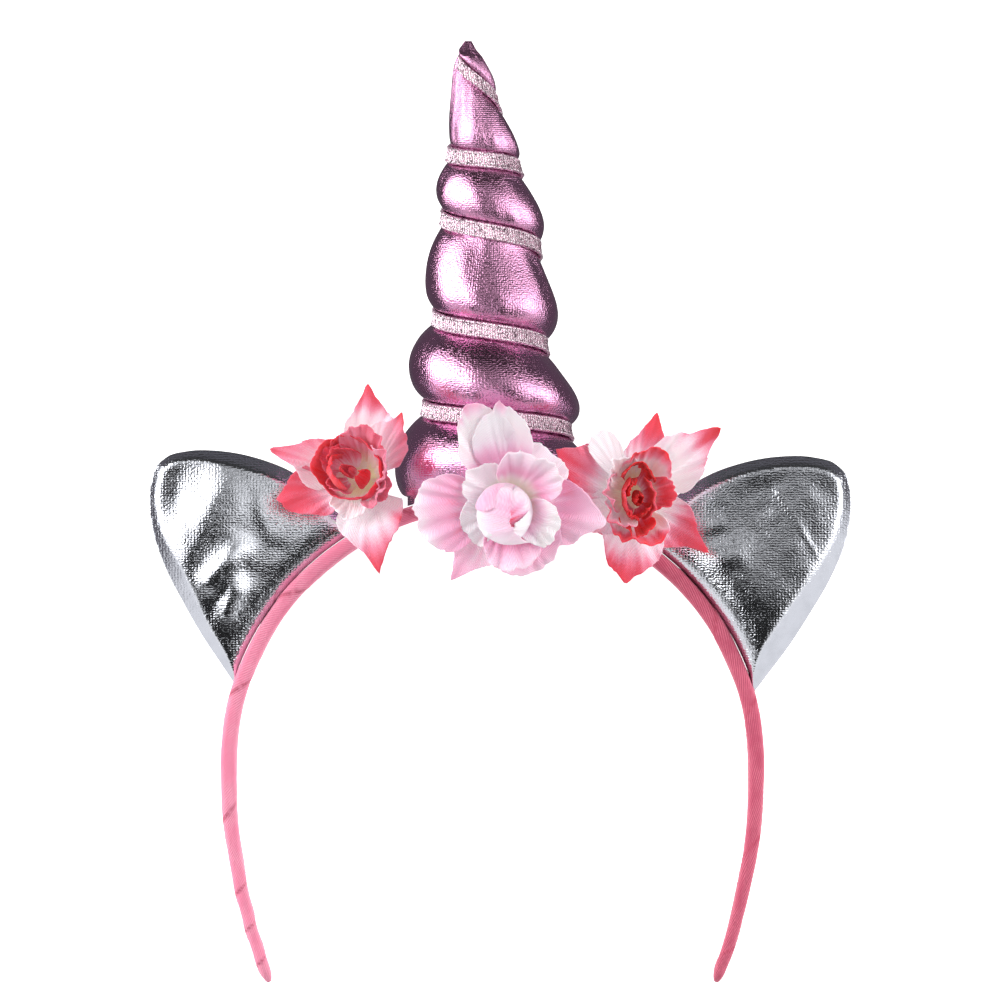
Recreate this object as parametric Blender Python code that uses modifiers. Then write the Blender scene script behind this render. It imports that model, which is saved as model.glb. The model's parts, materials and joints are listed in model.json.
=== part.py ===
"""Unicorn horn headband, laid on its back: a ribbon-wound band, a stuffed horn with a spiral braid,
two padded ears and three cloth roses.

Every piece is modelled as worn: +X to the right as seen from the front, -Y to the front, +Z up the horn,
and the origin on top of the band's outer face. The whole is then laid on the floor at z = 0, where it
rests on its two tips and on the back of the horn. Lengths are in metres.
"""

import math

import bmesh
import bpy
from mathutils import Matrix, Vector

# Fit between pieces
CLEARANCE = 0.0003
WELD = 1e-6

# Band: a springy strip wound with ribbon, a half circle with two gently curved legs
BAND_INNER_RADIUS = 0.059
BAND_THICKNESS = 0.0037
BAND_WIDTH = 0.008
BAND_EDGE_ROUND = 0.0011
CROWN_SEGMENTS = 45
LEG_RADIUS = 0.134
LEG_SWEEP = math.radians(20.0)
LEG_SEGMENTS = 11
TIP_THICKNESS = 0.0027
TIP_WIDTH = 0.0058
TIP_ROUND_LENGTH = 0.0035
BAND_OUTER_RADIUS = BAND_INNER_RADIUS + BAND_THICKNESS

# Horn: a stuffed cone of foil cloth, tied in by the braid
HORN_HEIGHT = 0.1044
HORN_BASE_RADIUS = 0.0208
HORN_DEPTH = 0.0190
HORN_BULGE = 0.0034
HORN_LEAN = 0.0056
HORN_COLUMNS = 28
HORN_SETTLE = 0.0008
# Shares of HORN_HEIGHT, HORN_BASE_RADIUS, HORN_BULGE and HORN_LEAN
HORN_PROFILE = (
    {"height": 0.00, "radius": 1.00, "bulge": 0.90, "lean": 0.00},
    {"height": 0.14, "radius": 0.87, "bulge": 1.00, "lean": -0.10},
    {"height": 0.33, "radius": 0.67, "bulge": 0.85, "lean": 0.15},
    {"height": 0.54, "radius": 0.59, "bulge": 0.45, "lean": 0.12},
    {"height": 0.72, "radius": 0.44, "bulge": 0.30, "lean": 0.38},
    {"height": 0.86, "radius": 0.27, "bulge": 0.10, "lean": 0.66},
    {"height": 0.96, "radius": 0.18, "bulge": 0.00, "lean": 0.92},
    {"height": 1.00, "radius": 0.06, "bulge": 0.00, "lean": 1.00},
)

# Braid: a flat metallic trim wound down the horn from its tip
BRAID_WIDTH = 0.0038
BRAID_THICKNESS = 0.0009
BRAID_SIDE_GAP = 0.0002
BRAID_START = 0.10
BRAID_END = 4.72
# Turns wound from the left side of the tip, and the height there as a share of HORN_HEIGHT
BRAID_COURSE = (
    {"turn": 0.0, "height": 0.975},
    {"turn": 0.5, "height": 0.863},
    {"turn": 1.0, "height": 0.752},
    {"turn": 1.5, "height": 0.720},
    {"turn": 2.0, "height": 0.611},
    {"turn": 2.5, "height": 0.540},
    {"turn": 3.0, "height": 0.392},
    {"turn": 3.5, "height": 0.325},
    {"turn": 4.0, "height": 0.192},
    {"turn": 4.5, "height": 0.137},
    {"turn": 5.0, "height": -0.050},
)
# Where the rows of the horn's mesh lie across one bulge, from groove edge to groove edge
BULGE_ROWS = (0.0, 0.1, 0.3, 0.55, 0.8, 1.0)
BULGE_FULLNESS = 0.6

# Ears: flat padded triangles standing on the band's outer face
EAR_HEIGHT = 0.0413
EAR_THICKNESS = 0.009
EAR_START = math.radians(30.0)
EAR_SWEEP = math.radians(42.0)
EAR_BASE_POINTS = 7
EARS = (
    {"name": "ear_left", "side": -1, "turn": math.radians(0.0), "size": 1.00},
    {"name": "ear_right", "side": 1, "turn": math.radians(2.1), "size": 1.045},
)
# Outline from the upper to the lower end of the base, as shares of EAR_SWEEP and EAR_HEIGHT
EAR_OUTLINE = (
    {"along": 0, "rise": 0},
    {"along": 0.045, "rise": 0.26},
    {"along": 0.1, "rise": 0.46},
    {"along": 0.17, "rise": 0.63},
    {"along": 0.25, "rise": 0.79},
    {"along": 0.33, "rise": 0.92},
    {"along": 0.39, "rise": 0.985},
    {"along": 0.43, "rise": 0.995},
    {"along": 0.475, "rise": 0.965},
    {"along": 0.53, "rise": 0.9},
    {"along": 0.6, "rise": 0.79},
    {"along": 0.68, "rise": 0.625},
    {"along": 0.77, "rise": 0.42},
    {"along": 0.85, "rise": 0.26},
    {"along": 0.93, "rise": 0.11},
    {"along": 1, "rise": 0},
)
# How far in from the outline, and how full the padding is there, as shares
EAR_PADDING = (
    {"inset": 0.03, "fullness": 0.45},
    {"inset": 0.10, "fullness": 0.74},
    {"inset": 0.25, "fullness": 0.90},
    {"inset": 0.60, "fullness": 1.00},
)

# Roses: three layers of cut petals threaded on a stem, with a rolled heart
PETAL_WALL = 0.0008
PETAL_ROWS = 4
PETAL_COLUMNS = (-1.0, -0.66, -0.33, 0.0, 0.33, 0.66)
HUB_RADIUS = 0.0022
LAYER_STEP = PETAL_WALL + CLEARANCE
STEM_RADIUS = 0.0016
HEART_RADIUS = 0.0028
HEART_HEIGHT = 0.0065
OUTER_REACH = 0.0230
CUP_REACH = 0.0155
BUD_REACH = 0.0120
# How much steeper the sides of a petal rise than its middle, in degrees
EDGE_LIFT = 10.0
# An outline keeps the share valley of its reach between two petals. Its tip is sharper with a lower power.
OUTLINES = {
    "pointed": {"power": 1.15, "root": 1.10},
    "round": {"power": 2.60, "root": 0.60},
}
# The rolled heart's section, as shares of HEART_HEIGHT and HEART_RADIUS
HEART_PROFILE = (
    {"height": 0.0, "radius": 0.55},
    {"height": 0.3, "radius": 0.9},
    {"height": 0.7, "radius": 1.0},
    {"height": 1.0, "radius": 0.5},
)
HEART_SIDES = 10
# Each rose's hub: where it sits as worn, as shares of BAND_OUTER_RADIUS.
# Each layer's petals: direction in degrees round the flower, from its right, and reach as a share of the layer's.
# Each layer's slopes: at the hub, half way and at the tip, in degrees up from the flower's back.
SLOPE_STATIONS = (0.0, 0.5, 1.0)
ROSES = (
    {
        "name": "rose_left",
        "hub": (-0.4785, -0.1356, 0.0510),
        "pitch": math.radians(10),
        "yaw": math.radians(-12),
        "foot": math.radians(-27),
        "layers": (
            {
                "name": "outer_petals",
                "reach": OUTER_REACH,
                "slopes": (12, 30, -5),
                "valley": 0.62,
                "outline": "pointed",
                "petals": (
                    {"angle": -77, "reach": 1.05},
                    {"angle": -24, "reach": 0.72},
                    {"angle": 48, "reach": 0.94},
                    {"angle": 88, "reach": 0.93},
                    {"angle": 165, "reach": 0.93},
                    {"angle": 203, "reach": 0.83},
                ),
            },
            {
                "name": "cup_petals",
                "reach": CUP_REACH,
                "slopes": (8, 62, 48),
                "valley": 0.74,
                "outline": "round",
                "petals": (
                    {"angle": -60, "reach": 1.00},
                    {"angle": 20, "reach": 1.05},
                    {"angle": 95, "reach": 1.00},
                    {"angle": 165, "reach": 0.95},
                    {"angle": 235, "reach": 1.00},
                ),
            },
            {
                "name": "bud_petals",
                "reach": BUD_REACH,
                "slopes": (8, 84, 96),
                "valley": 0.80,
                "outline": "round",
                "petals": (
                    {"angle": -30, "reach": 1.00},
                    {"angle": 60, "reach": 1.05},
                    {"angle": 150, "reach": 1.00},
                    {"angle": 240, "reach": 0.95},
                ),
            },
        ),
    },
    {
        "name": "rose_middle",
        "hub": (0.0558, -0.3429, -0.0335),
        "pitch": math.radians(-6),
        "yaw": math.radians(4),
        "foot": math.radians(0),
        "layers": (
            {
                "name": "outer_petals",
                "reach": OUTER_REACH,
                "slopes": (12, 30, 0),
                "valley": 0.66,
                "outline": "round",
                "petals": (
                    {"angle": -68, "reach": 0.78},
                    {"angle": -5, "reach": 1.02},
                    {"angle": 52, "reach": 0.90},
                    {"angle": 105, "reach": 1.20},
                    {"angle": 178, "reach": 1.02},
                    {"angle": 244, "reach": 0.93},
                ),
            },
            {
                "name": "cup_petals",
                "reach": CUP_REACH,
                "slopes": (8, 50, 10),
                "valley": 0.74,
                "outline": "round",
                "petals": (
                    {"angle": -75, "reach": 0.98},
                    {"angle": -5, "reach": 1.08},
                    {"angle": 62, "reach": 1.10},
                    {"angle": 125, "reach": 0.98},
                    {"angle": 195, "reach": 1.02},
                ),
            },
            {
                "name": "bud_petals",
                "reach": BUD_REACH,
                "slopes": (8, 84, 108),
                "valley": 0.82,
                "outline": "round",
                "petals": (
                    {"angle": -30, "reach": 1.12},
                    {"angle": 60, "reach": 1.15},
                    {"angle": 150, "reach": 1.12},
                    {"angle": 240, "reach": 1.10},
                ),
            },
        ),
    },
    {
        "name": "rose_right",
        "hub": (0.5152, -0.1356, -0.0064),
        "pitch": math.radians(4),
        "yaw": math.radians(10),
        "foot": math.radians(26),
        "layers": (
            {
                "name": "outer_petals",
                "reach": OUTER_REACH,
                "slopes": (12, 30, -5),
                "valley": 0.62,
                "outline": "pointed",
                "petals": (
                    {"angle": -98, "reach": 0.95},
                    {"angle": -41, "reach": 0.92},
                    {"angle": 40, "reach": 1.08},
                    {"angle": 86, "reach": 0.84},
                    {"angle": 145, "reach": 1.03},
                    {"angle": 212, "reach": 0.76},
                ),
            },
            {
                "name": "cup_petals",
                "reach": CUP_REACH,
                "slopes": (8, 58, 40),
                "valley": 0.74,
                "outline": "round",
                "petals": (
                    {"angle": -70, "reach": 1.05},
                    {"angle": 5, "reach": 1.10},
                    {"angle": 70, "reach": 1.05},
                    {"angle": 135, "reach": 1.00},
                    {"angle": 215, "reach": 1.00},
                ),
            },
            {
                "name": "bud_petals",
                "reach": BUD_REACH,
                "slopes": (8, 82, 92),
                "valley": 0.80,
                "outline": "round",
                "petals": (
                    {"angle": -60, "reach": 1.00},
                    {"angle": 30, "reach": 1.05},
                    {"angle": 120, "reach": 1.00},
                    {"angle": 210, "reach": 0.95},
                ),
            },
        ),
    },
)


def tidy_scene():
    """Empties the scene and returns the collection that the pieces go in."""
    for obj in list(bpy.data.objects):
        bpy.data.objects.remove(obj)
    pieces = bpy.data.collections.new("unicorn_headband")
    bpy.context.scene.collection.children.link(pieces)
    return pieces


def cloth(name, colour, roughness, metallic=0.0):
    """A plain material with the piece's colour and shine."""
    material = bpy.data.materials.new(name)
    material.use_nodes = True
    shader = material.node_tree.nodes["Principled BSDF"]
    shader.inputs["Base Color"].default_value = (*colour, 1.0)
    shader.inputs["Roughness"].default_value = roughness
    shader.inputs["Metallic"].default_value = metallic
    return material


def value_at(table, key, column, at):
    """Reads a column of a short table at any key, on a smooth curve that never overshoots its rows."""
    keys = [row[key] for row in table]
    values = [row[column] for row in table]
    if at <= keys[0]:
        return values[0]
    if at >= keys[-1]:
        return values[-1]
    slopes = [(b - a) / (k - j) for a, b, j, k in zip(values, values[1:], keys, keys[1:])]
    tangents = [slopes[0]]
    for before, after in zip(slopes, slopes[1:]):
        tangents.append(0.0 if before * after <= 0 else 2 * before * after / (before + after))
    tangents.append(slopes[-1])
    i = max(n for n, k in enumerate(keys[:-1]) if k <= at)
    step = keys[i + 1] - keys[i]
    t = (at - keys[i]) / step
    rise = t * t * (3 - 2 * t)
    lead = t * (1 - t) * (1 - t) * tangents[i] - t * t * (1 - t) * tangents[i + 1]
    return values[i] + (values[i + 1] - values[i]) * rise + step * lead


def add_object(name, mesh, material, parent):
    """Turns a bmesh into a smooth-shaded object under its parent."""
    bmesh.ops.remove_doubles(mesh, verts=mesh.verts, dist=WELD)
    bmesh.ops.recalc_face_normals(mesh, faces=mesh.faces)
    data = bpy.data.meshes.new(name)
    mesh.to_mesh(data)
    mesh.free()
    data.shade_smooth()
    data.set_sharp_from_angle(angle=math.radians(50))
    data.materials.append(material)
    obj = bpy.data.objects.new(name, data)
    PIECES.objects.link(obj)
    obj.parent = parent
    return obj


def add_empty(name, parent=None, matrix=None):
    """A frame that pieces are parented to."""
    empty = bpy.data.objects.new(name, None)
    PIECES.objects.link(empty)
    empty.parent = parent
    if matrix:
        empty.matrix_local = matrix
    return empty


def loft(name, rings, material, parent):
    """One closed solid through rings of points that all go round the same way, with flat end caps."""
    mesh = bmesh.new()
    layers = [[mesh.verts.new(point) for point in ring] for ring in rings]
    around = len(layers[0])
    for near, far in zip(layers, layers[1:]):
        for i in range(around):
            j = (i + 1) % around
            mesh.faces.new((near[i], near[j], far[j], far[i]))
    mesh.faces.new(layers[0])
    mesh.faces.new(layers[-1])
    return add_object(name, mesh, material, parent)


def band_stations():
    """Points down the middle of the band from the left tip to the right one, each with its outward direction
    and the share of the way down its leg, which is 0 on the crown."""
    middle = BAND_INNER_RADIUS + BAND_THICKNESS / 2
    leg = LEG_RADIUS + BAND_THICKNESS / 2
    crown_centre = Vector((0, 0, -BAND_OUTER_RADIUS))
    stations = []
    for side in (-1, 1):
        leg_centre = crown_centre + Vector((side * (middle - leg), 0, 0))
        half = []
        for n in range(1, LEG_SEGMENTS + 1):
            turn = LEG_SWEEP * n / LEG_SEGMENTS
            outward = Vector((side * math.cos(turn), 0, -math.sin(turn)))
            half.append((leg_centre + leg * outward, outward, n / LEG_SEGMENTS))
        if side < 0:
            stations += reversed(half)
            for n in range(CROWN_SEGMENTS + 1):
                turn = math.pi * (n / CROWN_SEGMENTS - 0.5)
                outward = Vector((math.sin(turn), 0, math.cos(turn)))
                stations.append((crown_centre + middle * outward, outward, 0.0))
        else:
            stations += half
    return stations


def rounded_section(centre, outward, thickness, width):
    """Eight corners of a strip's section, with its long side from front to back."""
    round_off = min(BAND_EDGE_ROUND, 0.3 * thickness)
    half_t = thickness / 2
    half_w = width / 2
    corners = (
        (half_t, half_w - round_off),
        (half_t - round_off, half_w),
        (-half_t + round_off, half_w),
        (-half_t, half_w - round_off),
        (-half_t, -half_w + round_off),
        (-half_t + round_off, -half_w),
        (half_t - round_off, -half_w),
        (half_t, -half_w + round_off),
    )
    return [centre + outward * out + Vector((0, back, 0)) for out, back in corners]


def make_band(material, parent):
    """The ribbon-wound strip, which thins down its legs and ends in two blunt points."""
    rings = []
    stations = band_stations()
    for centre, outward, down in stations:
        thickness = BAND_THICKNESS + (TIP_THICKNESS - BAND_THICKNESS) * down
        width = BAND_WIDTH + (TIP_WIDTH - BAND_WIDTH) * down
        rings.append(rounded_section(centre, outward, thickness, width))
    for end in (0, -1):
        centre, outward, _ = stations[end]
        side = 1 if end else -1
        along = Vector((-outward.z, 0, outward.x)) * -side
        for share, size in ((0.6, 0.80), (1.0, 0.40)):
            point = centre + along * TIP_ROUND_LENGTH * share
            ring = rounded_section(point, outward, TIP_THICKNESS * size, TIP_WIDTH * size)
            rings.insert(0 if side < 0 else len(rings), ring)
    return loft("band", rings, material, parent)


def horn_value(height, column):
    """A column of the horn's profile at a height above the band."""
    return value_at(HORN_PROFILE, "height", column, height / HORN_HEIGHT)


def groove_depth(height):
    """How deep the braid is let into the stuffing, which is less towards the tip."""
    return min(BRAID_THICKNESS + CLEARANCE, 0.35 * HORN_BASE_RADIUS * horn_value(height, "radius"))


def horn_point(turn, height, proud):
    """A point on the horn, proud of the floor of the braid's groove, turned from its left side to its front."""
    angle = 2 * math.pi * turn
    radius = HORN_BASE_RADIUS * horn_value(height, "radius") - groove_depth(height) + proud
    middle = -HORN_LEAN * horn_value(height, "lean")
    depth = radius * HORN_DEPTH / HORN_BASE_RADIUS
    return Vector((middle - radius * math.cos(angle), -depth * math.sin(angle), height))


def seat_height(turn):
    """The height of the horn's lower rim, which hugs the band's outer face."""
    across = horn_point(turn, 0.0, 0.0).x
    seat = BAND_OUTER_RADIUS + CLEARANCE
    return math.sqrt(seat * seat - across * across) - BAND_OUTER_RADIUS


def braid_height(turn):
    """The height of the braid's middle line: the tip before its first turn, the rim after its last."""
    if turn <= BRAID_COURSE[0]["turn"]:
        return HORN_HEIGHT
    if turn >= BRAID_COURSE[-1]["turn"]:
        return seat_height(turn)
    course = HORN_HEIGHT * value_at(BRAID_COURSE, "turn", "height", turn)
    return max(seat_height(turn), course)


def horn_rows(turn):
    """Points down the horn's side from one winding of the braid to the next: groove, bulge, groove."""
    top = braid_height(turn)
    bottom = braid_height(turn + 1)
    groove = min(BRAID_WIDTH / 2 + BRAID_SIDE_GAP, 0.3 * (top - bottom))
    bulge = top - bottom - 2 * groove
    rows = [horn_point(turn, top, 0.0)]
    for share in BULGE_ROWS:
        height = top - groove - bulge * share
        swell = min(0.5 * bulge, HORN_BULGE * horn_value(height, "bulge") + groove_depth(height))
        proud = swell * math.sin(math.pi * share) ** BULGE_FULLNESS if 0 < share < 1 else 0.0
        rows.append(horn_point(turn, height, proud))
    rows.append(horn_point(turn, bottom, 0.0))
    return rows


def make_horn(material, parent):
    """The stuffed cone. Its mesh winds down with the braid, so that each groove has its own rows."""
    mesh = bmesh.new()
    first = -HORN_COLUMNS
    last = round(BRAID_COURSE[-1]["turn"] * HORN_COLUMNS)
    columns = {n: [mesh.verts.new(p) for p in horn_rows(n / HORN_COLUMNS)] for n in range(first, last + 1)}
    for n in range(first, last):
        here = columns[n]
        after = columns[n + 1]
        for i in range(len(here) - 1):
            mesh.faces.new((here[i], here[i + 1], after[i + 1], after[i]))
    tip = mesh.verts.new((-HORN_LEAN, 0, HORN_HEIGHT))
    for n in range(first, 0):
        mesh.faces.new((columns[n][0], columns[n + 1][0], tip))
    rim = []
    for n in range(HORN_COLUMNS):
        turn = n / HORN_COLUMNS
        rim.append(mesh.verts.new(horn_point(turn, seat_height(turn), 0.0)))
    half = HORN_COLUMNS // 2
    for n in range(half):
        front = rim[n], rim[n + 1]
        back = rim[-n % HORN_COLUMNS], rim[-n - 1]
        corners = list(dict.fromkeys((front[0], front[1], back[1], back[0])))
        mesh.faces.new(corners)
    return add_object("horn", mesh, material, parent)


def make_braid(material, parent):
    """The trim, a flat strip that lies in the horn's groove."""
    rings = []
    first = round(BRAID_START * HORN_COLUMNS)
    last = round(BRAID_END * HORN_COLUMNS)
    for n in range(first, last + 1):
        turn = n / HORN_COLUMNS
        height = braid_height(turn)
        inner = CLEARANCE
        outer = CLEARANCE + BRAID_THICKNESS
        half = BRAID_WIDTH / 2
        corners = ((half, inner), (half, outer), (-half, outer), (-half, inner))
        rings.append([horn_point(turn, height + up, proud) for up, proud in corners])
    return loft("horn_braid", rings, material, parent)


def ear_outline(ear):
    """The ear's outline as worn, from the upper end of its base over the tip and back along the band."""
    def place(along, rise):
        turn = EAR_START + ear["turn"] + EAR_SWEEP * along
        radius = BAND_OUTER_RADIUS + CLEARANCE + EAR_HEIGHT * ear["size"] * rise
        return Vector((ear["side"] * radius * math.sin(turn), 0, radius * math.cos(turn) - BAND_OUTER_RADIUS))

    edge = [place(row["along"], row["rise"]) for row in EAR_OUTLINE]
    base = [place(1 - n / EAR_BASE_POINTS, 0.0) for n in range(1, EAR_BASE_POINTS)]
    return edge + base


def make_ear(ear, material, parent):
    """A flat pad with a rolled edge, cut to follow the band."""
    outline = ear_outline(ear)
    centre = sum(outline, Vector()) / len(outline)
    mesh = bmesh.new()
    edge = [mesh.verts.new(point) for point in outline]
    for face in (-1, 1):
        rings = [edge]
        for row in EAR_PADDING:
            lift = Vector((0, face * EAR_THICKNESS / 2 * row["fullness"], 0))
            rings.append([mesh.verts.new(point.lerp(centre, row["inset"]) + lift) for point in outline])
        for outer, inner in zip(rings, rings[1:]):
            for i in range(len(outline)):
                j = (i + 1) % len(outline)
                mesh.faces.new((outer[i], outer[j], inner[j], inner[i]))
        middle = mesh.verts.new(centre + Vector((0, face * EAR_THICKNESS / 2, 0)))
        for i in range(len(outline)):
            mesh.faces.new((rings[-1][i], rings[-1][(i + 1) % len(outline)], middle))
    return add_object(ear["name"], mesh, material, parent)


def petal_directions(petals):
    """Every column of a layer as (direction in degrees, reach, how far off the petal's middle, -1 to 1)."""
    columns = []
    for before, petal, after in zip((petals[-1], *petals), petals, (*petals[1:], petals[0])):
        low = ((petal["angle"] - before["angle"]) % 360) / 2
        high = ((after["angle"] - petal["angle"]) % 360) / 2
        for off in PETAL_COLUMNS:
            spread = low if off < 0 else high
            reach = petal["reach"]
            if off == -1.0:
                reach = (petal["reach"] + before["reach"]) / 2
            columns.append((petal["angle"] + spread * off, reach, off))
    return columns


def petal_line(layer, direction, reach, off, lift):
    """Points up one column of a layer, from the hub to the edge, following the layer's slopes."""
    shape = OUTLINES[layer["outline"]]
    outline = layer["valley"] + (1 - layer["valley"]) * (1 - abs(off) ** shape["power"]) ** shape["root"]
    length = layer["reach"] * reach * outline - HUB_RADIUS
    out = Vector((math.cos(math.radians(direction)), math.sin(math.radians(direction)), 0))
    table = [{"at": at, "slope": slope} for at, slope in zip(SLOPE_STATIONS, layer["slopes"])]
    point = out * HUB_RADIUS + Vector((0, 0, lift))
    line = [point]
    full = layer["reach"] * reach - HUB_RADIUS
    for row in range(PETAL_ROWS):
        at = (row + 0.5) / PETAL_ROWS * length / full
        slope = math.radians(value_at(table, "at", "slope", at) + EDGE_LIFT * off * off * at)
        point = point + (out * math.cos(slope) + Vector((0, 0, math.sin(slope)))) * length / PETAL_ROWS
        line.append(point)
    return line


def make_petals(rose, layer, lift, material, parent):
    """One cut sheet of petals, bent to its slopes, with the wall's thickness added by Solidify."""
    mesh = bmesh.new()
    centre = mesh.verts.new((0, 0, lift))
    lines = []
    for direction, reach, off in petal_directions(layer["petals"]):
        lines.append([mesh.verts.new(p) for p in petal_line(layer, direction, reach, off, lift)])
    for here, after in zip(lines, lines[1:] + lines[:1]):
        mesh.faces.new((centre, here[0], after[0]))
        for i in range(PETAL_ROWS):
            mesh.faces.new((here[i], here[i + 1], after[i + 1], after[i]))
    sheet = add_object(f"{rose['name']}_{layer['name']}", mesh, material, parent)
    wall = sheet.modifiers.new("wall", "SOLIDIFY")
    wall.thickness = PETAL_WALL
    wall.offset = 0.0
    return sheet


def make_heart(rose, lift, material, parent):
    """The rolled core in the middle of the inner petals."""
    rings = []
    around = [2 * math.pi * n / HEART_SIDES for n in range(HEART_SIDES)]
    for row in HEART_PROFILE:
        radius = HEART_RADIUS * row["radius"]
        z = lift + HEART_HEIGHT * row["height"]
        rings.append([Vector((radius * math.cos(a), radius * math.sin(a), z)) for a in around])
    return loft(f"{rose['name']}_heart", rings, material, parent)


def make_stem(rose, frame, material, parent):
    """The short plain stem behind a rose, from its hub to the front edge of the band."""
    turn = rose["foot"]
    radius = BAND_INNER_RADIUS + BAND_THICKNESS / 2
    seat = Vector((radius * math.sin(turn), -BAND_WIDTH / 2, radius * math.cos(turn) - BAND_OUTER_RADIUS))
    hub = frame.to_translation()
    along = (seat - hub).normalized()
    facing = frame.to_3x3() @ Vector((0, 0, 1))
    # A round stem's rim leads its middle line by its radius times the sine of the slant
    hub_slant = math.sin(along.angle(-facing))
    seat_slant = math.sin(along.angle(Vector((0, 1, 0))))
    top = hub - facing * (PETAL_WALL / 2 + CLEARANCE + STEM_RADIUS * hub_slant)
    foot = seat - Vector((0, CLEARANCE + STEM_RADIUS * seat_slant, 0))
    curve = bpy.data.curves.new(f"{rose['name']}_stem", "CURVE")
    curve.dimensions = "3D"
    curve.bevel_depth = STEM_RADIUS
    curve.bevel_resolution = 1
    curve.use_fill_caps = True
    spline = curve.splines.new("POLY")
    spline.points.add(1)
    for point, place in zip(spline.points, (top, foot)):
        point.co = (*place, 1.0)
    curve.materials.append(material)
    stem = bpy.data.objects.new(f"{rose['name']}_stem", curve)
    PIECES.objects.link(stem)
    stem.parent = parent
    return stem


def rose_frame(rose):
    """Where a rose sits as worn: its own +Z faces forward, with +X to the right and +Y up."""
    facing = Matrix.Rotation(math.pi / 2, 4, "X")
    turned = Matrix.Rotation(rose["yaw"], 4, "Y") @ Matrix.Rotation(-rose["pitch"], 4, "X")
    return Matrix.Translation(BAND_OUTER_RADIUS * Vector(rose["hub"])) @ facing @ turned


def make_rose(rose, materials, parent):
    """Three sheets of petals and a heart, stacked from the back of the flower, on a stem."""
    frame = rose_frame(rose)
    flower = add_empty(f"{rose['name']}_frame", parent, frame)
    for n, layer in enumerate(rose["layers"]):
        make_petals(rose, layer, n * LAYER_STEP, materials["petals"], flower)
    top = (len(rose["layers"]) - 0.5) * LAYER_STEP
    make_heart(rose, top, materials["petals"], flower)
    make_stem(rose, frame, materials["stem"], parent)


def evaluated_points(matrix):
    """Every mesh point of every piece, with a matrix applied to its place in the world."""
    graph = bpy.context.evaluated_depsgraph_get()
    points = []
    for obj in PIECES.objects:
        if obj.type == "EMPTY":
            continue
        made = obj.evaluated_get(graph)
        place = matrix @ made.matrix_world
        points += [place @ vertex.co for vertex in made.to_mesh().vertices]
        made.to_mesh_clear()
    return points


def resting_tilt(strip, cone):
    """How far the horn lifts the band's plane off the floor, in radians, and the floor's level below the origin."""
    def lowest(obj, tilt):
        return min(v.co.z * math.sin(tilt) - v.co.y * math.cos(tilt) for v in obj.data.vertices)

    low = 0.0
    high = math.radians(45)
    while high - low > 1e-7:
        tilt = (low + high) / 2
        if lowest(cone, tilt) + HORN_SETTLE < lowest(strip, tilt):
            low = tilt
        else:
            high = tilt
    return tilt, lowest(strip, tilt)


def lay_down(worn, band, horn):
    """Turns the headband onto its back, on both tips and the settled back of the horn, with the middle of its
    footprint at the world's origin."""
    tilt, floor = resting_tilt(band, horn)
    up = Vector((0, -math.cos(tilt), math.sin(tilt)))
    for vertex in horn.data.vertices:
        vertex.co += up * max(0.0, floor - vertex.co.dot(up))
    turned = Matrix.Rotation(tilt - math.pi / 2, 4, "X")
    bpy.context.view_layer.update()
    points = evaluated_points(turned)
    middle_x = (min(p.x for p in points) + max(p.x for p in points)) / 2
    middle_y = (min(p.y for p in points) + max(p.y for p in points)) / 2
    worn.matrix_world = Matrix.Translation((-middle_x, -middle_y, -floor)) @ turned


PIECES = tidy_scene()


def main():
    worn = add_empty("worn_frame")
    ribbon = cloth("pink_ribbon", (0.90, 0.22, 0.36), 0.7)
    foil_pink = cloth("pink_foil_cloth", (0.72, 0.40, 0.58), 0.3, 0.9)
    braid = cloth("metallic_braid", (0.80, 0.62, 0.72), 0.4, 0.7)
    foil_silver = cloth("silver_foil_cloth", (0.82, 0.83, 0.86), 0.2, 1.0)
    stem = cloth("white_stem", (0.85, 0.85, 0.80), 0.6)
    red = cloth("red_petals", (0.86, 0.16, 0.24), 0.8)
    pink = cloth("pink_petals", (0.94, 0.62, 0.74), 0.8)
    band = make_band(ribbon, worn)
    horn = make_horn(foil_pink, worn)
    make_braid(braid, worn)
    for ear in EARS:
        make_ear(ear, foil_silver, worn)
    for rose in ROSES:
        petals = pink if rose["name"] == "rose_middle" else red
        make_rose(rose, {"petals": petals, "stem": stem}, worn)
    lay_down(worn, band, horn)


main()
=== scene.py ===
"""Unicorn horn headband, laid on its back: the look of each piece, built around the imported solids.

Pieces are modelled as worn, in metres: +X to the right as seen from the front, -Y to the front, +Z up the
horn, with the origin on top of the band. The crown_seat mount gives the place of that frame in the world.
"""

import json
import math

import bpy
from mathutils import Matrix, Vector, noise


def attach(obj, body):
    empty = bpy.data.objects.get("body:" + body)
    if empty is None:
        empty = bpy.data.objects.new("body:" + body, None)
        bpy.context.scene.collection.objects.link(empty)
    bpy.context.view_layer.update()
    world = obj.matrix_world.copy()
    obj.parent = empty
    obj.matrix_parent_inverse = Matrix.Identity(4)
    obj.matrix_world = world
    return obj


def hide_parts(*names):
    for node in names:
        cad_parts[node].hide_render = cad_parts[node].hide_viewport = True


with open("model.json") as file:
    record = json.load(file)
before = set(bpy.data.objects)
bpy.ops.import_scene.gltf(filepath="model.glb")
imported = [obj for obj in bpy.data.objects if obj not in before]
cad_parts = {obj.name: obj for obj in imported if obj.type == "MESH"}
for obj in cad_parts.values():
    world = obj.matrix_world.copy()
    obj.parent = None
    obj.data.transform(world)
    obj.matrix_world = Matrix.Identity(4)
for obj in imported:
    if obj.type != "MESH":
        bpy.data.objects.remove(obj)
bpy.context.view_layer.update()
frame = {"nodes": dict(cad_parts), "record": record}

# The set: a plain white table under soft boxes. The pieces are laid on it, and the camera stands square to
# the band's plane. The table and the surroundings are darker above the horn in what shiny cloth mirrors.
BAND_THICKNESS = 0.0037
CAMERA_DISTANCE = 2.0
VIEW_WIDTH = 0.2305
SENSOR_WIDTH = 36.0
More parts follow.
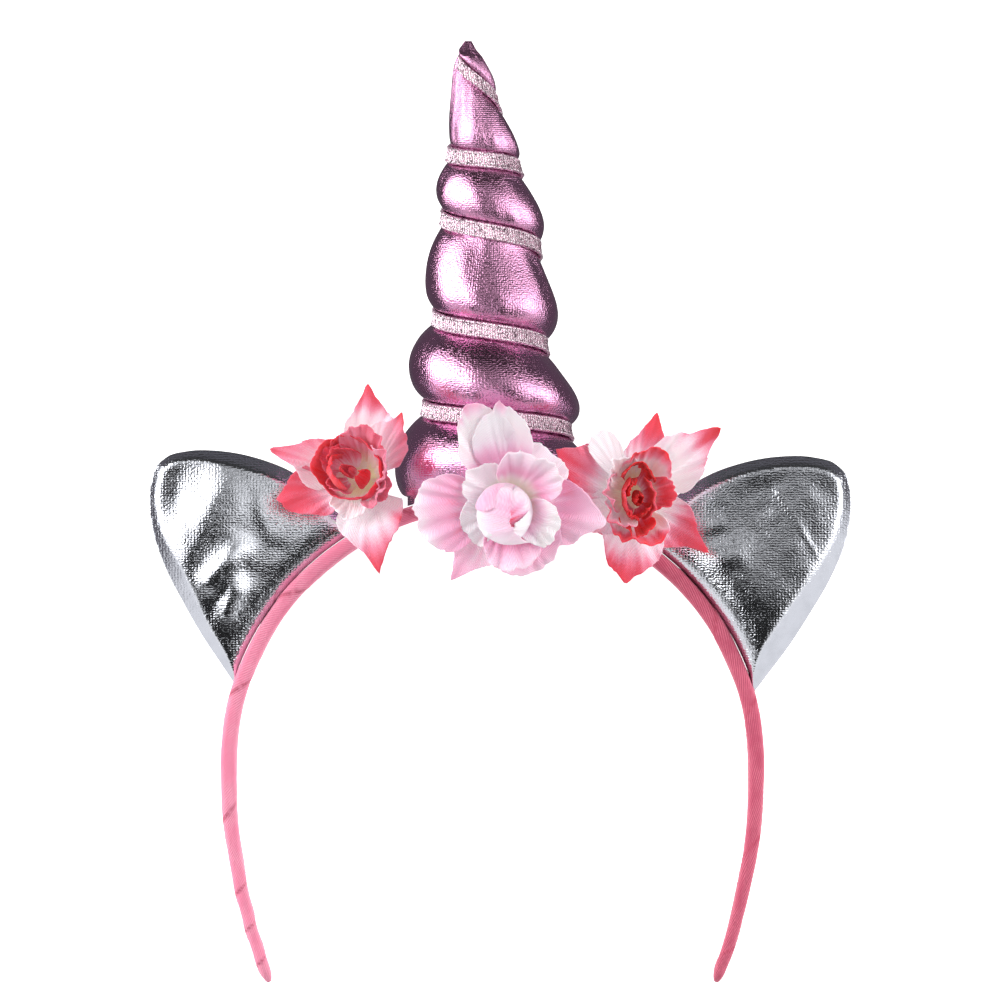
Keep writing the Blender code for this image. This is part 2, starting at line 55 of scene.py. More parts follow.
VIEW_CENTRE = (0.00173, -0.00139)
TABLE_SIZE = 6.0
TABLE_TINT = (0.93, 0.93, 0.93)
TABLE_GLOW = 0.74
MIRRORED_TABLE = (0.85, 0.85, 0.87)
MIRRORED_TABLE_NORTH = (0.11, 0.105, 0.12)
NORTH_EDGE = (-0.030, -0.008)
NORTH_SLANT = -0.106
STUDIO_FLOOR = 0.012


def linear(red, green, blue):
    """A colour given as it looks on a screen, from 0 to 1, as the shaders' linear light."""
    return tuple(c / 12.92 if c <= 0.04045 else ((c + 0.055) / 1.055) ** 2.4 for c in (red, green, blue))


def new_material(name):
    """A material, its node tree and its Principled shader."""
    made = bpy.data.materials.new(name)
    made.use_nodes = True
    return made, made.node_tree, made.node_tree.nodes["Principled BSDF"]


def node(tree, kind, inputs=(), **settings):
    """Adds a node with its settings. Inputs are (socket, value or output to link)."""
    made = tree.nodes.new(kind)
    for name, value in settings.items():
        setattr(made, name, value)
    for name, value in inputs:
        if isinstance(value, bpy.types.NodeSocket):
            tree.links.new(value, made.inputs[name])
        else:
            made.inputs[name].default_value = value
    return made


def maths(tree, operation, first, second=0.0, clamp=False):
    """The output of a Math node."""
    made = node(tree, "ShaderNodeMath", [(0, first), (1, second)], operation=operation, use_clamp=clamp)
    return made.outputs[0]


def ease(tree, value, low, high, start=0.0, end=1.0):
    """The output of a smooth Map Range node."""
    sockets = [("Value", value), ("From Min", low), ("From Max", high), ("To Min", start), ("To Max", end)]
    made = node(tree, "ShaderNodeMapRange", sockets, interpolation_type="SMOOTHSTEP")
    return made.outputs["Result"]


def speckle(tree, vector, scale, detail):
    """The value of a Noise node. vector is an output."""
    sockets = [("Vector", vector), ("Scale", scale), ("Detail", detail)]
    return node(tree, "ShaderNodeTexNoise", sockets).outputs["Fac"]


def add_bump(tree, shader, height, distance, strength):
    """Lets a height move a shader's normals."""
    sockets = [("Height", height), ("Distance", distance), ("Strength", strength)]
    tree.links.new(node(tree, "ShaderNodeBump", sockets).outputs[0], shader.inputs["Normal"])


def mix_colour(tree, share, first, second, blend="MIX"):
    """The output of a colour Mix node. A colour may be three numbers or an output."""
    made = node(tree, "ShaderNodeMix", data_type="RGBA", blend_type=blend)
    for socket, value in ((0, share), (6, first), (7, second)):
        if isinstance(value, bpy.types.NodeSocket):
            tree.links.new(value, made.inputs[socket])
        else:
            made.inputs[socket].default_value = value if socket == 0 else (*value, 1.0)
    return made.outputs[2]


seat = next(m for m in frame["record"]["mounts"] if m["name"] == "crown_seat")
UP_THE_HORN = -Vector(seat["axis"])
TO_THE_RIGHT = Vector((1, 0, 0))
TO_THE_BACK = UP_THE_HORN.cross(TO_THE_RIGHT)
WORN = Matrix((TO_THE_RIGHT, TO_THE_BACK, UP_THE_HORN)).transposed().to_4x4()
WORN.translation = Vector(seat["pos_m"]) + UP_THE_HORN * BAND_THICKNESS

table_shape = bpy.data.meshes.new("table_top")
half = TABLE_SIZE / 2
corners = [(-half, -half, 0), (half, -half, 0), (half, half, 0), (-half, half, 0)]
table_shape.from_pydata(corners, [], [(0, 1, 2, 3)])
table = bpy.data.objects.new("table_top", table_shape)
bpy.context.scene.collection.objects.link(table)
paper, tree, shader = new_material("white_table")
spot = node(tree, "ShaderNodeNewGeometry").outputs["Position"]
place = node(tree, "ShaderNodeSeparateXYZ", [("Vector", spot)])
slanted = maths(tree, "MULTIPLY", place.outputs["X"], NORTH_SLANT)
north = ease(tree, maths(tree, "ADD", place.outputs["Y"], slanted), *NORTH_EDGE)
mirrored = mix_colour(tree, north, MIRRORED_TABLE, MIRRORED_TABLE_NORTH)
ray = node(tree, "ShaderNodeLightPath")
plain = node(tree, "ShaderNodeEmission", [("Color", (*TABLE_TINT, 1)), ("Strength", TABLE_GLOW)])
lit = node(tree, "ShaderNodeBsdfDiffuse", [("Color", (*TABLE_TINT, 1))])
seen = node(tree, "ShaderNodeAddShader", [(0, plain.outputs[0]), (1, lit.outputs[0])])
dark = node(tree, "ShaderNodeEmission", [("Color", mirrored), ("Strength", 1.0)])
sockets = [(0, ray.outputs["Is Glossy Ray"]), (1, seen.outputs[0]), (2, dark.outputs[0])]
either = node(tree, "ShaderNodeMixShader", sockets)
tree.links.new(either.outputs[0], tree.nodes["Material Output"].inputs["Surface"])
table_shape.materials.append(paper)

world = bpy.data.worlds.new("pale_studio")
world.use_nodes = True
bpy.context.scene.world = world
tree = world.node_tree
tree.nodes.clear()
ray = node(tree, "ShaderNodeLightPath")
towards = node(tree, "ShaderNodeTexCoord").outputs["Generated"]
sky = node(tree, "ShaderNodeSeparateXYZ", [("Vector", towards)])
across, up_the_horn, overhead = sky.outputs["X"], sky.outputs["Y"], sky.outputs["Z"]
low = ease(tree, overhead, 0.30, 0.62, 0.9, 0.0)
low_south = maths(tree, "MULTIPLY", low, ease(tree, up_the_horn, -0.15, 0.25, 1.0, 0.0))
sideways = ease(tree, maths(tree, "ABSOLUTE", across), 0.10, 0.28, 0.42, 0.80)
north_start = maths(tree, "MULTIPLY", ease(tree, up_the_horn, 0.06, 0.28), sideways)
high_north = maths(tree, "MULTIPLY", north_start, ease(tree, up_the_horn, 0.48, 0.66, 1.0, 0.05))
# Panels: (how bright from one sideways place to another, where each starts and ends up the horn)
PANELS = (
    ((-0.52, -0.34, 4.5, 0.0), (-0.26, -0.02), (0.46, 0.68)),
    ((0.40, 0.64, 0.0, 2.8), (-0.34, -0.08), (0.26, 0.52)),
)
studio = maths(tree, "ADD", maths(tree, "ADD", low_south, high_north), STUDIO_FLOOR)
for brightness, start, end in PANELS:
    tall = maths(tree, "MULTIPLY", ease(tree, up_the_horn, *start), ease(tree, up_the_horn, *end, 1.0, 0.0))
    panel = maths(tree, "MULTIPLY", ease(tree, across, *brightness), tall)
    studio = maths(tree, "ADD", studio, panel)
mirrored = node(tree, "ShaderNodeCombineColor", [("Red", studio), ("Green", studio), ("Blue", studio)])
shiny = node(tree, "ShaderNodeBackground", [("Color", mirrored.outputs[0]), ("Strength", 1.0)])
pale = node(tree, "ShaderNodeBackground", [("Color", (1, 1, 1, 1)), ("Strength", 0.50)])
white = node(tree, "ShaderNodeBackground", [("Color", (1, 1, 1, 1)), ("Strength", 1.0)])
sockets = [(0, ray.outputs["Is Glossy Ray"]), (1, pale.outputs[0]), (2, shiny.outputs[0])]
lighting = node(tree, "ShaderNodeMixShader", sockets)
sockets = [(0, ray.outputs["Is Camera Ray"]), (1, lighting.outputs[0]), (2, white.outputs[0])]
shown = node(tree, "ShaderNodeMixShader", sockets)
node(tree, "ShaderNodeOutputWorld", [("Surface", shown.outputs[0])])


def soft_box(name, width, height, watts):
    """A lamp that shines from a rectangle and isn't seen itself."""
    lamp = bpy.data.lights.new(name, "AREA")
    lamp.shape = "RECTANGLE"
    lamp.size = width
    lamp.size_y = height
    lamp.energy = watts
    stand = bpy.data.objects.new(name, lamp)
    bpy.context.scene.collection.objects.link(stand)
    stand.visible_camera = False
    return stand


# Soft boxes: (name, direction as worn, distance, width, height, watts)
SOFT_BOXES = (
    ("left_soft_box", (-0.86, -0.42, 0.26), 0.9, 0.62, 0.85, 8.5),
    ("right_soft_box", (0.86, -0.40, 0.22), 0.9, 0.62, 0.85, 7.0),
)
aim = WORN @ Vector((0, 0, 0.01))
for name, direction, distance, width, height, watts in SOFT_BOXES:
    stand = soft_box(name, width, height, watts)
    stand.location = aim + WORN.to_3x3() @ Vector(direction).normalized() * distance
    stand.rotation_euler = (aim - stand.location).to_track_quat("-Z", "Y").to_euler()
    stand.visible_glossy = False
# A small card in front of the left ear, whose flat cloth mirrors it
EAR_CARD_PLACE = (-0.022, -0.13, 0.006)
card = soft_box("left_ear_card", 0.066, 0.054, 0.0115)
forward = Matrix.Rotation(math.pi / 2, 4, "X")
card.matrix_world = WORN @ Matrix.Translation(EAR_CARD_PLACE) @ forward
card.visible_diffuse = False

lens = bpy.data.cameras.new("front_camera")
lens.sensor_width = SENSOR_WIDTH
lens.lens = SENSOR_WIDTH * CAMERA_DISTANCE / VIEW_WIDTH
lens.clip_end = 20.0
camera = bpy.data.objects.new("front_camera", lens)
bpy.context.scene.collection.objects.link(camera)
view_point = (VIEW_CENTRE[0], -CAMERA_DISTANCE, VIEW_CENTRE[1])
camera.matrix_world = WORN @ Matrix.Translation(view_point) @ forward
bpy.context.scene.camera = camera
bpy.context.scene.view_settings.view_transform = "Standard"


# Band: a springy plastic strip with pink ribbed ribbon wound round it on the slant. Each turn of ribbon
# laps over the one before, and the ribbon's ribs cross it. It narrows to two blunt tips.
BAND_INNER_RADIUS = 0.059
BAND_OUTER_RADIUS = BAND_INNER_RADIUS + BAND_THICKNESS
BAND_WIDTH = 0.008
BAND_CORNER = 0.0013
TIP_THICKNESS = 0.0027
TIP_WIDTH = 0.0058
TIP_ROUND_LENGTH = 0.0035
LEG_RADIUS = 0.134
LEG_SWEEP = math.radians(20)
RIBBON_LAP = 0.00034
RIBBON_EDGE = 0.022
RIB_PITCH = 0.00052
SECTION_POINTS = 40
STATION_COUNT = 640
TIP_BLUNTNESS = 0.86
# The ribbon: (distance along the band from its apex, in metres, and its turns by then)
RIBBON_TURNS = (
    (-0.1430, -6.2), (-0.1330, -5.0), (-0.1240, -4.0), (-0.1060, -3.0), (-0.0770, -2.0),
    (-0.0520, -1.0), (0.0200, 1.0), (0.0610, 2.0), (0.0820, 3.0), (0.1140, 4.0), (0.1390, 5.0),
    (0.1480, 6.0),
)


def clamp(value, low=0.0, high=1.0):
    return max(low, min(high, value))


def smooth(value, low, high):
    """0 below low, 1 above high, and an S between them. It falls where high is below low."""
    share = clamp((value - low) / (high - low))
    return share * share * (3 - 2 * share)


def value_at(table, at, column=1):
    """A column of a short table where its first column is at, on a smooth curve that never overshoots."""
    keys = [row[0] for row in table]
    values = [row[column] for row in table]
    if at <= keys[0]:
        return values[0]
    if at >= keys[-1]:
        return values[-1]
    slopes = [(b - a) / (k - j) for a, b, j, k in zip(values, values[1:], keys, keys[1:])]
    tangents = [slopes[0]]
    for before, after in zip(slopes, slopes[1:]):
        tangents.append(0.0 if before * after <= 0 else 2 * before * after / (before + after))
    tangents.append(slopes[-1])
    i = max(n for n, k in enumerate(keys[:-1]) if k <= at)
    step = keys[i + 1] - keys[i]
    t = (at - keys[i]) / step
    rise = t * t * (3 - 2 * t)
    lead = t * (1 - t) * (1 - t) * tangents[i] - t * t * (1 - t) * tangents[i + 1]
    return values[i] + (values[i + 1] - values[i]) * rise + step * lead


def add_piece(name, points, faces, material, replaced, uvs=None, masks=None):
    """A mesh in the worn frame, placed in the world, that rides on the body and stands for a CAD node.
    uvs holds a pair for each corner of each face, and masks a number for each point under each name."""
    data = bpy.data.meshes.new(name)
    data.from_pydata(points, [], faces)
    data.transform(WORN)
    if uvs:
        layer = data.uv_layers.new(name="cloth")
        layer.data.foreach_set("uv", [number for face in uvs for pair in face for number in pair])
    for mask, values in (masks or {}).items():
        data.attributes.new(mask, "FLOAT", "POINT").data.foreach_set("value", values)
    data.shade_smooth()
    data.materials.append(material)
    piece = bpy.data.objects.new(name, data)
    bpy.context.scene.collection.objects.link(piece)
    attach(piece, "root")
    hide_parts(replaced)
    return piece


def tube_faces(rings, around, along_uv, around_uv, first=0):
    """Faces and corner UVs of rings of points. The UVs run on from a ring's last point to its first."""
    faces = []
    uvs = []
    for n in range(rings - 1):
        for i in range(around):
            j = (i + 1) % around
            faces.append([first + r * around + c for r, c in ((n, i), (n, j), (n + 1, j), (n + 1, i))])
            u = (around_uv[i], around_uv[i + 1])
            v = (along_uv[n], along_uv[n + 1])
            uvs.append([(u[0], v[0]), (u[1], v[0]), (u[1], v[1]), (u[0], v[1])])
    return faces, uvs


def band_place(distance):
    """The strip's middle at a distance from its apex: the point, outward, onward, share down its leg."""
    middle = BAND_INNER_RADIUS + BAND_THICKNESS / 2
    leg = LEG_RADIUS + BAND_THICKNESS / 2
    quarter = middle * math.pi / 2
    side = -1 if distance < 0 else 1
    past = abs(distance) - quarter
    if past <= 0:
        turn = distance / middle
        outward = Vector((math.sin(turn), 0, math.cos(turn)))
        point = Vector((0, 0, -BAND_OUTER_RADIUS)) + middle * outward
        down = 0.0
    else:
        turn = min(past / leg, LEG_SWEEP)
        outward = Vector((side * math.cos(turn), 0, -math.sin(turn)))
        point = Vector((side * (middle - leg), 0, -BAND_OUTER_RADIUS)) + leg * outward
        down = turn / LEG_SWEEP
        point += Vector((-math.sin(turn) * side, 0, -math.cos(turn))) * max(0.0, past - leg * LEG_SWEEP)
    onward = Vector((outward.z, 0, -outward.x))
    return point, outward, onward, down


def strip_section(thickness, width, corner):
    """Points round a strip's section as (outward, to the back) of the strip's middle."""
    half_t = thickness / 2 - corner
    half_w = width / 2 - corner
    turns = []
    per_corner = 6
    straight = (SECTION_POINTS - 4 * per_corner) // 4
    legs = ((-1, -1), (1, -1), (1, 1), (-1, 1))
    starts = (math.pi, 1.5 * math.pi, 0.0, 0.5 * math.pi)
    for (out, back), start in zip(legs, starts):
        for n in range(per_corner):
            angle = start + 0.5 * math.pi * n / (per_corner - 1)
            round_off = (corner * math.cos(angle), corner * math.sin(angle))
            turns.append((out * half_t + round_off[0], back * half_w + round_off[1]))
    filled = []
    for here, after in zip(turns, turns[1:] + turns[:1]):
        filled.append(here)
        if math.dist(here, after) > corner:
            for n in range(1, straight + 1):
                share = n / (straight + 1)
                filled.append(tuple(h + (a - h) * share for h, a in zip(here, after)))
    return filled


MIDDLE_RADIUS = BAND_INNER_RADIUS + BAND_THICKNESS / 2
HALF_LENGTH = MIDDLE_RADIUS * math.pi / 2 + (LEG_RADIUS + BAND_THICKNESS / 2) * LEG_SWEEP
stations = [HALF_LENGTH * (2 * n / STATION_COUNT - 1) for n in range(STATION_COUNT + 1)]
ends = [TIP_ROUND_LENGTH * share for share in (0.2, 0.45, 0.7, 0.88, 1.0)]
stations = [-HALF_LENGTH - e for e in reversed(ends)] + stations + [HALF_LENGTH + e for e in ends]
points = []
lap_step_shades = []
along_uv = []
around = 0
for distance in stations:
    point, outward, onward, down = band_place(distance)
    past = clamp((abs(distance) - HALF_LENGTH) / TIP_ROUND_LENGTH)
    blunt = math.sqrt(1 - TIP_BLUNTNESS * past * past)
    thickness = (BAND_THICKNESS + (TIP_THICKNESS - BAND_THICKNESS) * down) * blunt
    width = (BAND_WIDTH + (TIP_WIDTH - BAND_WIDTH) * down) * blunt
    corner = min(BAND_CORNER, 0.42 * thickness)
    section = strip_section(thickness, width, corner)
    around = len(section)
    turns = value_at(RIBBON_TURNS, distance)
    for out, back in section:
        angle = math.atan2(out, -back) / (2 * math.pi)
        lap = (turns + angle) % 1.0
        lift = RIBBON_LAP * (1 - smooth(lap, 0.0, 0.45)) * (1 - past)
        lift += 0.00005 * noise.noise(Vector((distance * 400, angle * 6, 1.3)))
        away = Vector((out, back)).normalized()
        proud = lift - 0.5 * RIBBON_LAP
        points.append(point + outward * (out + away.x * proud) + Vector((0, back + away.y * proud, 0)))
        # How near the lapping edge: the mask of the painted shade at each lap's step.
        lap_step_shades.append(math.exp(-(((lap + 0.5) % 1.0 - 0.5) / RIBBON_EDGE) ** 2))
    along_uv.append(distance)
section = strip_section(BAND_THICKNESS, BAND_WIDTH, BAND_CORNER)
around_uv = [0.0]
for here, after in zip(section, section[1:] + section[:1]):
    around_uv.append(around_uv[-1] + math.dist(here, after))
faces, uvs = tube_faces(len(stations), around, along_uv, around_uv)
for ring, start in ((0, 0), (len(stations) - 1, (len(stations) - 1) * around)):
    faces.append([start + i for i in range(around)])
    uvs.append([(0.0, along_uv[ring])] * around)

ribbon, tree, shader = new_material("pink_ribbon")
cloth = node(tree, "ShaderNodeUVMap", uv_map="cloth")
run = node(tree, "ShaderNodeSeparateXYZ", [("Vector", cloth.outputs[0])])
# The ribs lean towards the ear on the left, and run almost along the strip on the right
lean = ease(tree, run.outputs["Y"], -0.02, 0.045, 0.72, 0.97)
straight = ease(tree, run.outputs["Y"], -0.02, 0.045, 0.72, 0.30)
rise = maths(tree, "MULTIPLY", run.outputs["X"], lean)
phase = maths(tree, "ADD", rise, maths(tree, "MULTIPLY", run.outputs["Y"], straight))
wave = maths(tree, "SINE", maths(tree, "MULTIPLY", phase, 2 * math.pi / RIB_PITCH))
ribs = maths(tree, "ADD", maths(tree, "MULTIPLY", wave, 0.5), 0.5)
threads = speckle(tree, cloth.outputs[0], 5200.0, 2.0)
worn_patches = speckle(tree, cloth.outputs[0], 130.0, 3.0)
worn_ribs_and_valley_shade = maths(tree, "MULTIPLY", ribs, ease(tree, worn_patches, 0.35, 0.62, 0.35, 1.0))
# Painted light on the band: its left is painted lit and its right painted in shade, and the valleys between
# its ribs are painted darker as shade.
sunny = linear(0.965, 0.66, 0.75)
shaded = linear(0.88, 0.46, 0.55)
side = ease(tree, run.outputs["Y"], -0.045, 0.055)
ground = mix_colour(tree, side, sunny, shaded)
valley = mix_colour(tree, side, linear(0.90, 0.48, 0.60), linear(0.72, 0.28, 0.39))
colour = mix_colour(tree, worn_ribs_and_valley_shade, valley, ground)
colour = mix_colour(tree, ease(tree, threads, 0.56, 0.8, 0.0, 0.35), colour, linear(0.97, 0.70, 0.78))
# The step where each turn of ribbon laps over the one before is painted darker: painted shade under the
# lapping edge.
edge = node(tree, "ShaderNodeAttribute", attribute_name="lap_step_shade").outputs["Fac"]
colour = mix_colour(tree, maths(tree, "MULTIPLY", edge, 0.75), colour, linear(0.72, 0.27, 0.37))
tree.links.new(colour, shader.inputs["Base Color"])
height = maths(tree, "ADD", worn_ribs_and_valley_shade, maths(tree, "MULTIPLY", threads, 0.5))
add_bump(tree, shader, height, 0.00012, 0.8)
shader.inputs["Roughness"].default_value = 0.62
shader.inputs["Sheen Weight"].default_value = 0.25
shader.inputs["Sheen Roughness"].default_value = 0.4
shader.inputs["Specular IOR Level"].default_value = 0.35
add_piece("wound_band", points, faces, ribbon, "band", uvs, {"lap_step_shade": lap_step_shades})


# Horn: a cone of pink foil cloth, filled with wadding. The braid is drawn tight round it, so that the
# stuffing swells into bulges, and the cloth puckers along the braid. Its lower rim is glued to the band.
HORN_HEIGHT = 0.1044
HORN_BASE_RADIUS = 0.0208
HORN_DEPTH = 0.0190
HORN_BULGE = 0.0034
HORN_LEAN = 0.0056
TUCK_TURN = 2.27
TUCK_REACH = 0.10
PUCKER = 0.0021
# The lowest bulge swells more on its left side: (height, reach up and down, extra)
LEFT_SWELL = (0.0335, 0.009, 0.0012)
HORN_COLUMNS = 150
HORN_ROWS = 30
HORN_PROFILE_COLUMNS = ("height", "radius", "bulge", "lean")
HORN_PROFILE = (
    (0.00, 1.00, 0.90, 0.00),
    (0.14, 0.87, 1.00, -0.10),
    (0.33, 0.67, 0.85, 0.15),
    (0.54, 0.59, 0.45, 0.12),
    (0.72, 0.44, 0.30, 0.38),
    (0.86, 0.27, 0.10, 0.66),
    (0.96, 0.18, 0.00, 0.92),
    (1.00, 0.06, 0.00, 1.00),
)
BRAID_WIDTH = 0.0038
BRAID_THICKNESS = 0.0009
BRAID_SEAT = 0.0003
BRAID_SIDE_GAP = 0.0002
# The braid's middle line: (turns from the left of the horn, and share of the horn's height)
BRAID_COURSE = (
    (0.0, 0.975), (0.5, 0.863), (1.0, 0.752), (1.5, 0.720), (2.0, 0.611), (2.5, 0.540), (3.0, 0.392),
    (3.5, 0.325), (4.0, 0.192), (4.5, 0.137), (5.0, -0.050),
)


def horn_value(height, column):
    """A column of the horn's profile at a height above the band."""
    return value_at(HORN_PROFILE, height / HORN_HEIGHT, HORN_PROFILE_COLUMNS.index(column))


def groove_depth(height):
    """How deep the braid is let into the stuffing, which is less towards the tip."""
    return min(BRAID_THICKNESS + BRAID_SEAT, 0.35 * HORN_BASE_RADIUS * horn_value(height, "radius"))


def horn_point(turn, height, proud):
    """A point on the horn, proud of the braid's groove, turned from its left side to its front."""
    angle = 2 * math.pi * turn
    radius = HORN_BASE_RADIUS * horn_value(height, "radius") - groove_depth(height) + proud
    middle = -HORN_LEAN * horn_value(height, "lean")
    depth = radius * HORN_DEPTH / HORN_BASE_RADIUS
    return Vector((middle - radius * math.cos(angle), -depth * math.sin(angle), height))


def seat_height(turn):
    """The height of the horn's lower rim, which hugs the band's outer face."""
    across = horn_point(turn, 0.0, 0.0).x
    seat_radius = BAND_OUTER_RADIUS + BRAID_SEAT
    return math.sqrt(seat_radius * seat_radius - across * across) - BAND_OUTER_RADIUS


def braid_height(turn):
    """The height of the braid's middle line: the tip before its first turn, the rim after its last."""
    if turn <= BRAID_COURSE[0][0]:
        return HORN_HEIGHT
    if turn >= BRAID_COURSE[-1][0]:
        return seat_height(turn)
    return max(seat_height(turn), HORN_HEIGHT * value_at(BRAID_COURSE, turn))


def puckers(turn, share, size):
    """Small folds in the cloth: pleats that start at the braid and fade, and shallow dents between them."""
    wobble = noise.noise(Vector((turn * 5.0, share * 1.5, 7.1)))
    pleats = math.sin(2 * math.pi * (turn * 9.0 + 0.6 * wobble) + 2.0 * share)
    fine = noise.noise(Vector((turn * 26.0, share * 2.2, 3.7)))
    near = math.exp(-share / 0.22) + 0.8 * math.exp(-(1 - share) / 0.18)
    slack = noise.noise(Vector((turn * 7.0, share * 1.1 + turn, 11.3)))
    return size * (0.10 * pleats * near + 0.16 * fine * (0.35 + near) + 0.20 * slack)


def horn_row(turn, row):
    """A point of the horn's cloth on one column, and how far down the column it is."""
    top = braid_height(turn)
    bottom = braid_height(turn + 1)
    groove = min(BRAID_WIDTH / 2 + BRAID_SIDE_GAP, 0.3 * (top - bottom))
    bulge = top - bottom - 2 * groove
    if row == 0:
        return horn_point(turn, top, 0.0), 0.0
    if row == HORN_ROWS:
        return horn_point(turn, bottom, 0.0), top - bottom
    share = (row - 1) / (HORN_ROWS - 2)
    share = share - 0.10 * math.sin(2 * math.pi * share)
    height = top - groove - bulge * share
    to_the_right = 0.5 - 0.5 * math.cos(2 * math.pi * turn)
    tuck = math.exp(-(((turn - TUCK_TURN) / TUCK_REACH) ** 2))
    sagged = share ** (1.0 + 0.55 * to_the_right + 1.1 * tuck)
    full = HORN_BULGE * horn_value(height, "bulge") + groove_depth(height)
    swollen, reach, extra = LEFT_SWELL
    full += extra * math.exp(-(((height - swollen) / reach) ** 2)) * (1 - to_the_right) ** 2
    swell = min(0.5 * bulge, full)
    round_off = math.sin(math.pi * clamp(sagged, 0.0, 1.0)) ** 0.55 if 0 < share < 1 else 0.0
    proud = swell * round_off
    size = min(PUCKER, 0.45 * bulge) * min(1.0, 6 * share, 6 * (1 - share))
    return horn_point(turn, height, max(0.0, proud + puckers(turn, share, size))), top - height


def foil_group():
    """Foil cloth: a woven ground that shows through thin foil as fine ribs and broken glints."""
    group = bpy.data.node_groups.new("foil_cloth", "ShaderNodeTree")
    for name, kind in (("Cloth", "Vector"), ("Rib", "Float"), ("Break", "Float")):
        group.interface.new_socket(name, in_out="INPUT", socket_type=f"NodeSocket{kind}")
    for name in ("Height", "Glint", "Wear"):
        group.interface.new_socket(name, in_out="OUTPUT", socket_type="NodeSocketFloat")
    source = node(group, "NodeGroupInput")
    sink = node(group, "NodeGroupOutput")
    cloth = source.outputs["Cloth"]
    run = node(group, "ShaderNodeSeparateXYZ", [("Vector", cloth)])
    rate = maths(group, "DIVIDE", 2 * math.pi, source.outputs["Rib"])
    bend = maths(group, "MULTIPLY", speckle(group, cloth, 900.0, 1.0), 4.0)
    weft = maths(group, "SINE", maths(group, "ADD", maths(group, "MULTIPLY", run.outputs["Y"], rate), bend))
    warp_rate = maths(group, "MULTIPLY", rate, 0.8)
    warp = maths(group, "SINE", maths(group, "MULTIPLY", run.outputs["X"], warp_rate))
    drawn = node(group, "ShaderNodeVectorMath", [(0, cloth), (1, (0.8, 1.05, 1.0))], operation="MULTIPLY")
    grain = speckle(group, drawn.outputs[0], 2300.0, 2.0)
    broken = maths(group, "MULTIPLY", grain, source.outputs["Break"])
    woven = maths(group, "ADD", maths(group, "MULTIPLY", weft, 0.16), maths(group, "MULTIPLY", warp, 0.12))
    group.links.new(maths(group, "ADD", woven, broken), sink.inputs["Height"])
    group.links.new(ease(group, grain, 0.55, 0.72), sink.inputs["Glint"])
    rubbed = speckle(group, cloth, 240.0, 3.0)
    group.links.new(ease(group, rubbed, 0.40, 0.70), sink.inputs["Wear"])
    return group


FOIL = foil_group()


def foil_material(name, colour, worn_colour, rib, broken, depth, roughness):
    """Cloth faced with foil of a colour, which is duller where it is rubbed."""
    made, tree, shader = new_material(name)
    cloth = node(tree, "ShaderNodeUVMap", uv_map="cloth")
    foil = node(tree, "ShaderNodeGroup", node_tree=FOIL)
    tree.links.new(cloth.outputs[0], foil.inputs["Cloth"])
    foil.inputs["Rib"].default_value = rib
    foil.inputs["Break"].default_value = broken
    tint = mix_colour(tree, maths(tree, "MULTIPLY", foil.outputs["Wear"], 0.35), colour, worn_colour)
    tree.links.new(tint, shader.inputs["Base Color"])
    rough = maths(tree, "MULTIPLY_ADD", foil.outputs["Wear"], 0.04)
    rough.node.inputs[2].default_value = roughness
    rough = maths(tree, "SUBTRACT", rough, maths(tree, "MULTIPLY", foil.outputs["Glint"], 0.08))
    tree.links.new(rough, shader.inputs["Roughness"])
    add_bump(tree, shader, foil.outputs["Height"], depth, 1.0)
    shader.inputs["Metallic"].default_value = 1.0
    return made


points = []
along = []
girth = 2 * math.pi * HORN_BASE_RADIUS * 0.7
first = -HORN_COLUMNS
last = round(BRAID_COURSE[-1][0] * HORN_COLUMNS)
for n in range(first, last + 1):
    turn = n / HORN_COLUMNS
    for row in range(HORN_ROWS + 1):
        point, down = horn_row(turn, row)
        points.append(point)
        along.append((turn * girth, point.z))
faces = []
tall = HORN_ROWS + 1
for n in range(last - first):
    for i in range(HORN_ROWS):
        corners = (n * tall + i, n * tall + i + 1, (n + 1) * tall + i + 1, (n + 1) * tall + i)
        faces.append(corners)
points.append(Vector((-HORN_LEAN, 0, HORN_HEIGHT)))
along.append((0.0, HORN_HEIGHT))
for n in range(HORN_COLUMNS):
    faces.append((n * tall, (n + 1) * tall, len(points) - 1))
rim = len(points)
for n in range(HORN_COLUMNS):
    turn = n / HORN_COLUMNS
    points.append(horn_point(turn, seat_height(turn), 0.0))
    along.append((turn * girth, 0.0))
for n in range(HORN_COLUMNS // 2):
    corners = (rim + n, rim + n + 1, rim + (-n - 1) % HORN_COLUMNS, rim + -n % HORN_COLUMNS)
    faces.append(tuple(dict.fromkeys(corners)))
# The back of the biggest bulge settles on the table under the horn's weight
for i, point in enumerate(points):
    under = -(WORN @ point).z
    if under > 0:
        points[i] = point + WORN.to_3x3().inverted() @ Vector((0, 0, under))
uvs = [[along[corner] for corner in face] for face in faces]
pink_foil = foil_material(
    "pink_foil_cloth", linear(0.86, 0.62, 0.77), linear(0.92, 0.66, 0.80), 0.00046, 2.4, 0.000058, 0.17
)
horn = add_piece("stuffed_horn", points, faces, pink_foil, "horn", uvs)


# Horn braid: a flat metallic trim, two cords with fine crosswise ribs between them, wound down the horn
# from its tip in five turns. It is stitched down, so it lies in the groove that it draws into the stuffing.
BRAID_START = 0.10
BRAID_END = 4.72
BRAID_RIB = 0.00062
BRAID_STEP = 0.00019
CORD_PLACE = 0.80
CORD_REACH = 0.13
BRAID_SECTION = (-1.0, -0.93, -0.80, -0.66, -0.52, -0.25, 0.0, 0.25, 0.52, 0.66, 0.80, 0.93, 1.0)

